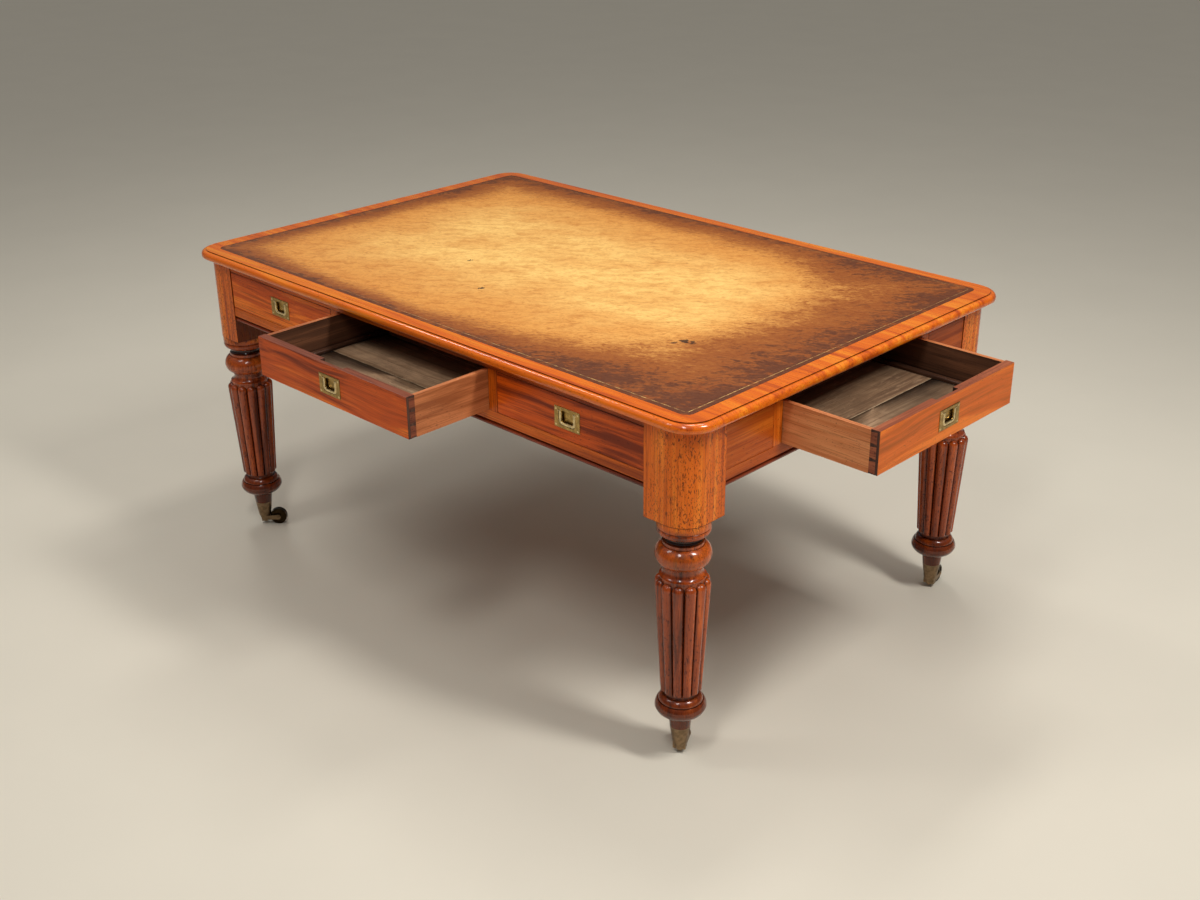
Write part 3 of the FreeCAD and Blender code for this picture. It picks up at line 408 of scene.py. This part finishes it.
@functools.lru_cache(maxsize=None)
def hide_material():
    """Old hide: rubbed pale in the middle, dark at the rim, with a worn gold line."""
    look = settings().hide
    shade = Shade("old_leather")
    middle = (HIDE_LOW + HIDE_HIGH) / 2
    half = (HIDE_HIGH - HIDE_LOW) / 2
    place = shade.vector("SUBTRACT", shade.place, tuple(middle))
    parts = shade.node("ShaderNodeSeparateXYZ", {0: place})
    x, y = parts.outputs["X"], parts.outputs["Y"]
    over = [shade.math("SUBTRACT", shade.math("ABSOLUTE", v), side - look.corner)
            for v, side in ((x, half.x), (y, half.y))]
    out = [shade.math("POWER", shade.math("MAXIMUM", v, 0.0), 2.0) for v in over]
    reach = shade.math("POWER", shade.math("ADD", *out), 0.5)
    within = shade.math("MINIMUM", shade.math("MAXIMUM", *over), 0.0)
    rim = shade.math("SUBTRACT", look.corner, shade.math("ADD", reach, within))
    slant = shade.node("ShaderNodeMapping", {"Vector": place, "Rotation": (0, 0, -0.65)}).outputs[0]
    waver = shade.vector("SUBTRACT", shade.noise(slant, 22.0, 3.0, output="Color"), (0.5, 0.5, 0.5))
    slant = shade.vector("ADD", slant, shade.vector("MULTIPLY", waver, (0.035, 0.035, 0.035)))
    cloud = shade.noise(shade.stretch(slant, 4.0, 8.0), detail=5.0, roughness=0.6)
    mottle = shade.noise(shade.stretch(slant, 20.0, 52.0), detail=6.0, roughness=0.72)
    drag = shade.noise(shade.stretch(slant, 70.0, 230.0), detail=4.0, roughness=0.65)
    near = shade.math("MULTIPLY", shade.level(x, -0.1, 0.65), shade.level(y, 0.0, -0.46, 0.0, 0.12))
    sides = shade.math("ADD", shade.level(y, 0.05, 0.45, 0.05, 0.1), shade.level(x, -0.4, -0.72, 0.0, 0.03))
    depth = shade.math("ADD", shade.math("ADD", near, sides), shade.level(x, 0.25, 0.7, 0.0, 0.24))
    wander = shade.math("ADD", shade.math("MULTIPLY", shade.math("SUBTRACT", cloud, 0.5), 1.2),
                        shade.math("MULTIPLY", shade.math("SUBTRACT", mottle, 0.5), 1.8))
    wander = shade.math("SUBTRACT", wander, shade.math("MULTIPLY", shade.math("SUBTRACT", drag, 0.5), 1.2))
    ragged = shade.math("ADD", rim, shade.math("MULTIPLY", depth, wander))
    fade = shade.math("DIVIDE", ragged, depth)
    base = shade.ramp(shade.math("MULTIPLY", fade, 0.6), (0.0, look.dark), (0.25, look.brown), (0.9, look.tan))
    glow = shade.level(shade.math("SUBTRACT", ragged, shade.math("MULTIPLY", depth, 0.6)), 0.02, 0.36)
    glow = shade.math("MULTIPLY", glow, shade.level(cloud, 0.36, 0.6, 0.5, 1.0))
    base = shade.mix(glow, base, look.bright)
    base = shade.mix(shade.level(mottle, 0.42, 0.66, 0.0, 0.7), base, (0.72, 0.56, 0.4), "MULTIPLY")
    base = shade.mix(shade.level(drag, 0.45, 0.7, 0.0, 0.7), base, (0.7, 0.52, 0.36), "MULTIPLY")
    base = shade.mix(shade.level(shade.noise(place, 160.0, 2.0), 0.70, 0.75, 0.0, 0.2), base, look.dark)
    spots = ((0.4993, -0.1995, 0.02), (0.488, -0.221, 0.012), (0.516, -0.196, 0.015),
             (-0.0552, -0.2562, 0.014), (-0.2286, -0.1337, 0.012))
    blur = shade.math("MULTIPLY", shade.math("SUBTRACT", shade.noise(place, 110.0, 2.0), 0.5), 0.03)
    for px, py, radius in spots:
        gap = shade.node("ShaderNodeVectorMath", {0: place, 1: (px, py, half.z)}, operation="DISTANCE")
        near = shade.math("ADD", gap.outputs["Value"], blur)
        base = shade.mix(shade.level(near, radius * 0.35, radius * 0.5, 0.85, 0.0), base, (0.012, 0.009, 0.007))
    off = shade.math("ABSOLUTE", shade.math("SUBTRACT", rim, look.tooling))
    worn = shade.level(shade.noise(place, 60.0, 6.0, 0.75), 0.4, 0.58, 0.1, 1.0)
    worn = shade.math("MULTIPLY", worn, shade.level(shade.math("SUBTRACT", x, y), 0.1, 1.2, 0.3, 1.0))
    blind = shade.math("ABSOLUTE", shade.math("SUBTRACT", off, look.line * 2.2))
    base = shade.mix(shade.level(blind, look.line * 0.3, look.line * 0.7, 0.35, 0.0), base, scaled(look.dark, 0.5))
    gilt = shade.math("MULTIPLY", shade.level(off, look.line * 0.35, look.line * 0.6, 1.0, 0.0), worn)
    base = shade.mix(gilt, base, look.gold)
    # Painted shade: the outer two millimetres of the hide darken where it meets the wood.
    base = shade.mix(shade.level(rim, 0.0006, 0.0022, 0.85, 0.0), base, scaled(look.dark, 0.35))
    shade.set(base_color=base, roughness=shade.level(mottle, 0.3, 0.7, 0.4, 0.54), specular_ior_level=0.3)
    pits = shade.node("ShaderNodeTexVoronoi", {"Vector": place, "Scale": 900.0}).outputs["Distance"]
    relief = shade.math("ADD", shade.math("MULTIPLY", pits, 0.35), shade.math("MULTIPLY", mottle, 0.65))
    shade.bump(relief, 0.25, 0.0012)
    return shade.material


@functools.lru_cache(maxsize=None)
def brass_material(name, tint, rubbed, roughness):
    """Aged brass: rubbed edges, dull faces, grime in the corners."""
    look = settings().brass
    face = getattr(look, tint)
    shade = Shade(name)
    cloud = shade.noise(shade.place, 120.0, 4.0)
    scratch = shade.noise(shade.stretch(shade.place, 40.0, 900.0), detail=3.0)
    base = shade.mix(shade.level(cloud, 0.36, 0.64), face, scaled(face, 0.72))
    base = shade.mix(shade.level(shade.arris(0.0014), 0.3, 0.75, 0.0, rubbed), base, look.bright)
    base = shade.mix(shade.level(shade.hollow(0.004), 0.4, 0.95, 0.0, 0.7), base, look.grime)
    shade.set(base_color=base, metallic=1.0,
              roughness=shade.level(cloud, 0.3, 0.7, roughness - 0.07, roughness + 0.1))
    shade.bump(shade.math("ADD", scratch, cloud), 0.1, 0.0003)
    return shade.material


@functools.lru_cache(maxsize=None)
def steel_material():
    """Plain dark steel of the hidden screws."""
    shade = Shade("steel")
    cloud = shade.noise(shade.place, 300.0, 3.0)
    shade.set(base_color=shade.ramp(cloud, (0.35, tone(70, 68, 66)), (0.65, tone(140, 138, 134))),
              metallic=1.0, roughness=shade.level(cloud, 0.3, 0.7, 0.3, 0.5))
    return shade.material


# Pieces
def cad_copy(*nodes):
    """A merged copy of CAD nodes with whole flat faces."""
    bm = bmesh.new()
    for node in nodes:
        bm.from_mesh(frame["nodes"][node].data)
    bmesh.ops.remove_doubles(bm, verts=bm.verts, dist=1e-5)
    bmesh.ops.dissolve_limit(bm, angle_limit=0.002, verts=bm.verts, edges=bm.edges, delimit={"NORMAL"})
    return bm


def soften(bm, width, least=0.03):
    """Rounds the long outer edges."""
    sharp = [e for e in bm.edges if e.is_manifold and e.is_convex and e.calc_length() > least
             and e.calc_face_angle() > math.radians(50)]
    bmesh.ops.bevel(bm, geom=sharp, affect="EDGES", offset=width, offset_type="OFFSET",
                    segments=settings().edges.steps, profile=0.5, material=-1)


def islands(bm):
    """The faces of each separate board."""
    left = set(bm.faces)
    while left:
        board, edge = set(), [left.pop()]
        while edge:
            face = edge.pop()
            board.add(face)
            near = {f for e in face.edges if len(e.link_faces) == 2 for f in e.link_faces} & left
            left -= near
            edge.extend(near)
        yield board


def extent(faces):
    points = [v.co for f in faces for v in f.verts]
    low = Vector(min(p[i] for p in points) for i in range(3))
    high = Vector(max(p[i] for p in points) for i in range(3))
    return low, high


def add_piece(name, bm, materials, body, slot, *nodes):
    """Makes a piece of a mesh, which moves with a body and stands for CAD nodes."""
    for edge in bm.edges:
        edge.smooth = not edge.is_manifold or edge.calc_face_angle() < math.radians(40)
    for face in bm.faces:
        face.smooth = True
    mesh = bpy.data.meshes.new(name)
    bm.to_mesh(mesh)
    bm.free()
    for material in materials:
        mesh.materials.append(material)
    piece = bpy.data.objects.new(name, mesh)
    bpy.context.scene.collection.objects.link(piece)
    normals = piece.modifiers.new("even_shading", "WEIGHTED_NORMAL")
    normals.keep_sharp = True
    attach(piece, body)
    if nodes:
        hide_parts(*nodes)
    return piece


def board_piece(name, key, body, slot, nodes, width):
    """Boards with softened edges, each with its grain along its length."""
    bm = cad_copy(*nodes)
    soften(bm, width)
    axes = []
    for board in islands(bm):
        low, high = extent(board)
        size = high - low
        axis = "XYZ"[max(range(3), key=lambda i: size[i])]
        if axis not in axes:
            axes.append(axis)
        for face in board:
            face.material_index = axes.index(axis)
    return add_piece(name, bm, [wood(key, axis) for axis in axes], body, slot, *nodes)


def dress(node, material):
    """Gives a CAD node that is shown its material."""
    piece = frame["nodes"][node]
    piece.material_slots[0].material = material


class DeskOperator(Operator):
    bl_options = {"REGISTER", "UNDO"}


class DESK_OT_top(DeskOperator):
    """Finishes the moulded wooden top."""
    bl_idname = "desk.top"
    bl_label = "Top"

    def execute(self, context):
        dress("top", top_material())
        return {"FINISHED"}


class DESK_OT_leather(DeskOperator):
    """Lays the hide in the top, with its tooled line."""
    bl_idname = "desk.leather"
    bl_label = "Leather"

    def execute(self, context):
        look = settings().hide
        size = HIDE_HIGH - HIDE_LOW
        middle = (HIDE_LOW + HIDE_HIGH) / 2
        bm = bmesh.new()
        bmesh.ops.create_grid(bm, x_segments=1, y_segments=1, size=0.5)
        bmesh.ops.scale(bm, vec=(size.x, size.y, 1), verts=bm.verts)
        bmesh.ops.translate(bm, vec=(middle.x, middle.y, HIDE_HIGH.z), verts=bm.verts)
        bmesh.ops.bevel(bm, geom=list(bm.verts), affect="VERTICES", offset=look.corner, segments=8, profile=0.5,
                        material=-1)
        top = bm.faces[:]
        body = bmesh.ops.extrude_face_region(bm, geom=top, use_keep_orig=True)["geom"]
        bmesh.ops.translate(bm, vec=(0, 0, -size.z), verts=[v for v in body if isinstance(v, bmesh.types.BMVert)])
        bmesh.ops.recalc_face_normals(bm, faces=bm.faces)
        face = max(bm.faces, key=lambda f: f.calc_center_median().z)
        rim = list(face.edges)
        bmesh.ops.inset_region(bm, faces=[face], thickness=look.tooling - look.line / 2)
        bmesh.ops.inset_region(bm, faces=[face], thickness=look.line / 2, depth=-look.groove)
        bmesh.ops.inset_region(bm, faces=[face], thickness=look.line / 2, depth=look.groove)
        bmesh.ops.bevel(bm, geom=rim, affect="EDGES", offset=look.edge, segments=2, profile=0.5, material=-1)
        hide = add_piece("leather_hide", bm, [hide_material()], "desk", "leather", "leather")
        return {"FINISHED"}


class DESK_OT_frieze(DeskOperator):
    """Makes the rails, dividers, stiles, panels and beads of the frieze."""
    bl_idname = "desk.frieze"
    bl_label = "Frieze"

    def execute(self, context):
        edge = settings().edges.board
        for name, nodes in (("frieze_rails", ("upper_rails", "long_lower_rails", "end_lower_rails")),
                            ("frieze_dividers", ("drawer_dividers",)), ("frieze_stiles", ("end_stiles",)),
                            ("frieze_panels", ("end_panels",))):
            board_piece(name, "frieze", "desk", "frieze_wood", nodes, edge)
        board_piece("frieze_beads", "bead", "desk", "bead_wood", ("rail_beads",), edge / 2)
        return {"FINISHED"}


class DESK_OT_legs(DeskOperator):
    """Finishes the turned and reeded legs."""
    bl_idname = "desk.legs"
    bl_label = "Legs"

    def execute(self, context):
        for corner in CORNERS:
            dress(corner + "_leg", leg_material())
        return {"FINISHED"}


class DESK_OT_castors(DeskOperator):
    """Finishes the brass castors."""
    bl_idname = "desk.castors"
    bl_label = "Castors"

    def execute(self, context):
        cup = brass_material("castor_brass", "aged", 0.4, 0.38)
        wheel = brass_material("wheel_brass", "grime", 0.25, 0.42)
        for node in ["castor_cups", "castor_pivots"] + ["castor_horn_" + corner for corner in CORNERS]:
            dress(node, cup)
        for corner in CORNERS:
            dress("castor_wheel_" + corner, wheel)
        return {"FINISHED"}


class DESK_OT_drawers(DeskOperator):
    """Makes the drawers' fronts and boxes."""
    bl_idname = "desk.drawers"
    bl_label = "Drawers"

    def execute(self, context):
        for drawer in DRAWERS:
            body = drawer + "_drawer"
            slide = Vector(JOINTS[body + "_slide"]["axis"])
            deep = max(range(2), key=lambda i: abs(slide[i]))
            self.front(drawer, body, slide, 1 - deep)
            self.box(drawer, body, slide, deep)
        return {"FINISHED"}

    def front(self, drawer, body, slide, wide):
        """The drawer's front, with dark end grain, a plain inner face and a stained upper edge."""
        node = body + "_front"
        bm = cad_copy(node)
        soften(bm, settings().edges.front)
        for face in bm.faces:
            ways = (abs(face.normal[wide]), -face.normal.dot(slide), face.normal.z)
            face.material_index = next((i + 1 for i, way in enumerate(ways) if way > 0.8), 0)
        axis = "XY"[wide]
        materials = [wood("front", axis), wood("end", "Z"), wood("lining", axis), wood("stain", axis)]
        add_piece(drawer + "_front", bm, materials, body, "drawer_front_wood", node)

    def box(self, drawer, body, slide, deep):
        """The drawer's box: pale outside with stained dovetails, dark inside, with a worn bottom."""
        node = body + "_box"
        wide = 1 - deep
        low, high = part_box(node)
        middle = (low + high) / 2
        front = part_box(body + "_front")
        back = min(front, key=lambda corner: corner.dot(slide))
        bm = cad_copy(node)
        self.split(bm, bm.faces, back, slide)
        boards = [board for board in islands(bm)]
        for board in boards:
            least, most = extent(board)
            if most.z - least.z < 0.0075:
                edge = max((least, most), key=lambda corner: corner.dot(slide))
                self.split(bm, board, edge - slide * settings().edges.joint, slide)
        materials = [wood("side", "XY"[deep]), wood("lining", "XY"[deep]), wood("lining", "XY"[wide]),
                     floor_material("XY"[wide], False), wood("side", "XY"[wide]), wood("stain", "XY"[deep]),
                     floor_material("XY"[wide], True)]
        for board in islands(bm):
            least, most = extent(board)
            size = most - least
            offset = (least + most) / 2 - middle
            rim = max(least.dot(slide), most.dot(slide)) - settings().edges.joint
            for face in board:
                normal = face.normal
                along = face.calc_center_median().dot(slide)
                if size.z < 0.0075:
                    face.material_index = 6 if along > rim and normal.z > 0.5 else 3
                elif size[wide] < size[deep] and size.z > 0.03:
                    outside = normal[wide] * offset[wide] > 0 and abs(normal[wide]) > 0.5
                    face.material_index = 0 if outside or normal.z > 0.5 else 1
                    if outside and along > back.dot(slide):
                        face.material_index = 5
                elif size.z > 0.03:
                    outside = normal[deep] * offset[deep] > 0 and abs(normal[deep]) > 0.5
                    face.material_index = 4 if outside or normal.z > 0.5 else 2
                else:
                    face.material_index = 1
        add_piece(drawer + "_box", bm, materials, body, "drawer_lining_wood", node)

    def split(self, bm, faces, point, direction):
        """Cuts faces along a plane."""
        faces = list(faces)
        edges = {e for f in faces for e in f.edges}
        verts = {v for f in faces for v in f.verts}
        bmesh.ops.bisect_plane(bm, geom=[*verts, *edges, *faces], dist=1e-6, plane_co=point, plane_no=direction)


class DESK_OT_pulls(DeskOperator):
    """Makes the flush brass pulls: plates, pins and bails."""
    bl_idname = "desk.pulls"
    bl_label = "Pulls"

    def execute(self, context):
        brass = brass_material("pull_brass", "dull", 0.8, 0.3)
        rubbed = brass_material("bail_brass", "bright", 0.8, 0.24)
        for drawer in DRAWERS:
            body = drawer + "_drawer"
            hinge = JOINTS[drawer + "_bail_hinge"]
            across = -Vector(hinge["axis"])
            up = Vector((0, 0, 1))
            place = Matrix((across, up.cross(across), up)).transposed().to_4x4()
            place.translation = Vector(hinge["pos_m"])
            dress(body + "_pull_plate", brass)
            self.pins(drawer, place, brass)
            self.bail(drawer, place, rubbed)
        return {"FINISHED"}

    def bail(self, drawer, place, brass):
        """A U-shaped bar with rounded corners, hung on two trunnions."""
        look = settings().brass
        node = drawer + "_drawer_pull_bail"
        low, high = (place.inverted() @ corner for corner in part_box(node))
        half_z = min(low.z, high.z)
        reach = abs(high.x - low.x) / 2
        thick = abs(high.y - low.y)
        radius = 0.0015
        half = reach - 0.0024
        bm = bmesh.new()
        bar = look.bar
        outline = [(-half, 0), (-half, half_z), (half, half_z), (half, 0), (half - bar, 0),
                   (half - bar, half_z + bar), (bar - half, half_z + bar), (bar - half, 0)]
        verts = [bm.verts.new((x, -thick / 2, z)) for x, z in outline]
        bm.faces.new(verts)
        for picks, corner in (((1, 2), look.outer_corner), ((5, 6), look.inner_corner)):
            bmesh.ops.bevel(bm, geom=[verts[i] for i in picks], affect="VERTICES", offset=corner, segments=5,
                            profile=0.5, material=-1)
        face = bm.faces[:]
        made = bmesh.ops.extrude_face_region(bm, geom=face, use_keep_orig=True)["geom"]
        bmesh.ops.translate(bm, vec=(0, thick, 0), verts=[v for v in made if isinstance(v, bmesh.types.BMVert)])
        bmesh.ops.recalc_face_normals(bm, faces=bm.faces)
        sharp = [e for e in bm.edges if e.calc_face_angle() > math.radians(50)]
        bmesh.ops.bevel(bm, geom=sharp, affect="EDGES", offset=look.bar_edge, segments=3, profile=0.5, material=-1)
        for sign in (-1, 1):
            for size, start, end in ((thick / 2, half - bar, half), (radius, half - bar / 2, reach)):
                turn = Matrix.Translation((sign * (start + end) / 2, 0, 0)) @ Matrix.Rotation(math.pi / 2, 4, "Y")
                bmesh.ops.create_cone(bm, cap_ends=True, segments=20, radius1=size, radius2=size,
                                      depth=end - start, matrix=turn)
        bmesh.ops.transform(bm, matrix=place, verts=bm.verts)
        add_piece(drawer + "_bail", bm, [brass], drawer + "_bail", "pull_brass", node)

    def pins(self, drawer, place, brass):
        """The domed heads of the four pins at the plate's corners."""
        look = settings().brass
        low, high = (place.inverted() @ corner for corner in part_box(drawer + "_drawer_pull_plate"))
        middle = (low + high) / 2
        half = Vector((abs(high.x - low.x) / 2, 0, abs(high.z - low.z) / 2))
        face = min(low.y, high.y)
        bm = bmesh.new()
        for sx in (-1, 1):
            for sz in (-1, 1):
                spot = (middle.x + sx * (half.x - look.pin_inset), face, middle.z + sz * (half.z - look.pin_inset))
                shape = Matrix.Translation(spot) @ Matrix.Diagonal((1, look.pin_height / look.pin_radius, 1, 1))
                bmesh.ops.create_uvsphere(bm, u_segments=14, v_segments=8, radius=look.pin_radius, matrix=shape)
        bmesh.ops.transform(bm, matrix=place, verts=bm.verts)
        add_piece(drawer + "_pins", bm, [brass], drawer + "_drawer", "pull_brass")


class DESK_OT_inner_frame(DeskOperator):
    """Makes the runners, guides, kickers and stops, and finishes the screws."""
    bl_idname = "desk.inner_frame"
    bl_label = "Inner frame"

    def execute(self, context):
        for part in ("runners", "guides", "kickers", "stops"):
            board_piece("inner_" + part, "inner", "desk", "inner_wood", ["drawer_" + part], 0.0005)
        dress("top_screws", steel_material())
        return {"FINISHED"}


class DESK_OT_stage(DeskOperator):
    """Sets the floor, the lamps and the camera."""
    bl_idname = "desk.stage"
    bl_label = "Stage"

    def execute(self, context):
        look = settings().stage
        scene = context.scene
        self.floor(look)
        self.sky(scene, look)
        for index, (x, y, part) in enumerate(((1.3, -2.1, 1.2), (-0.9, -1.8, 0.5), (2.5, 0.1, 2.6),
                                             (-2.2, 0.3, 0.6), (0.0, 0.7, 0.8))):
            self.lamp("panel_" + str(index + 1), look.panel * part, (0.45, 1.1), (x, y, 3.2))
        data = bpy.data.cameras.new("camera")
        data.sensor_width = 36
        data.lens = look.lens
        camera = bpy.data.objects.new("camera", data)
        pitch, roll, heading = look.aim
        turn = Matrix.Rotation(heading, 4, "Z") @ Matrix.Rotation(pitch, 4, "X") @ Matrix.Rotation(roll, 4, "Z")
        camera.matrix_world = Matrix.Translation(CENTRE + Vector(look.camera)) @ turn
        scene.collection.objects.link(camera)
        scene.camera = camera
        scene.view_settings.view_transform = "Standard"
        return {"FINISHED"}

    def sky(self, scene, look):
        """A plain grey sky, dark at the horizon and brighter overhead."""
        world = bpy.data.worlds.new("studio")
        scene.world = world
        world.use_nodes = True
        nodes, links = world.node_tree.nodes, world.node_tree.links
        parts = nodes.new("ShaderNodeSeparateXYZ")
        links.new(nodes.new("ShaderNodeTexCoord").outputs["Generated"], parts.inputs[0])
        level = nodes.new("ShaderNodeMapRange")
        level.interpolation_type = "SMOOTHSTEP"
        links.new(parts.outputs["Z"], level.inputs["Value"])
        for socket, value in (("From Min", 0.25), ("To Min", look.horizon), ("To Max", look.zenith)):
            level.inputs[socket].default_value = value
        sky = nodes["Background"]
        sky.inputs["Color"].default_value = (1, 1, 1, 1)
        links.new(level.outputs["Result"], sky.inputs["Strength"])

    def floor(self, look):
        shade = Shade("floor")
        cloud = shade.noise(shade.place, 3.0, 5.0)
        shade.set(base_color=shade.mix(cloud, scaled(look.floor, 0.97), scaled(look.floor, 1.03)), roughness=0.85)
        bm = bmesh.new()
        bmesh.ops.create_grid(bm, x_segments=1, y_segments=1, size=150.0)
        mesh = bpy.data.meshes.new("floor")
        bm.to_mesh(mesh)
        bm.free()
        mesh.materials.append(shade.material)
        floor = bpy.data.objects.new("floor", mesh)
        bpy.context.scene.collection.objects.link(floor)

    def lamp(self, name, power, size, place):
        data = bpy.data.lights.new(name, "AREA")
        data.shape = "RECTANGLE"
        data.size, data.size_y = size
        data.energy = power
        lamp = bpy.data.objects.new(name, data)
        lamp.location = CENTRE + Vector(place)
        aim = CENTRE + Vector((0, 0, 0.6)) - lamp.location
        lamp.rotation_euler = aim.to_track_quat("-Z", "Y").to_euler()
        bpy.context.scene.collection.objects.link(lamp)


STEPS = (DESK_OT_top, DESK_OT_leather, DESK_OT_frieze, DESK_OT_legs, DESK_OT_castors, DESK_OT_drawers,
         DESK_OT_pulls, DESK_OT_inner_frame, DESK_OT_stage)


class DESK_PT_steps(Panel):
    """Lists the steps that finish the desk."""
    bl_idname = "DESK_PT_steps"
    bl_label = "Partners desk"
    bl_space_type = "VIEW_3D"
    bl_region_type = "UI"
    bl_category = "Desk"

    def draw(self, context):
        for step in STEPS:
            self.layout.operator(step.bl_idname)


CLASSES = (*WOODS, HideSettings, BrassSettings, EdgeSettings, StageSettings, DeskSettings, *STEPS,
           DESK_PT_steps)


def register():
    for each in CLASSES:
        bpy.utils.register_class(each)
    bpy.types.Scene.desk = PointerProperty(type=DeskSettings, name="Desk", description="Desk settings")


def unregister():
    del bpy.types.Scene.desk
    for each in reversed(CLASSES):
        bpy.utils.unregister_class(each)


def main():
    register()
    for step in STEPS:
        group, name = step.bl_idname.split(".")
        getattr(getattr(bpy.ops, group), name)()


if __name__ == "__main__":
    main()
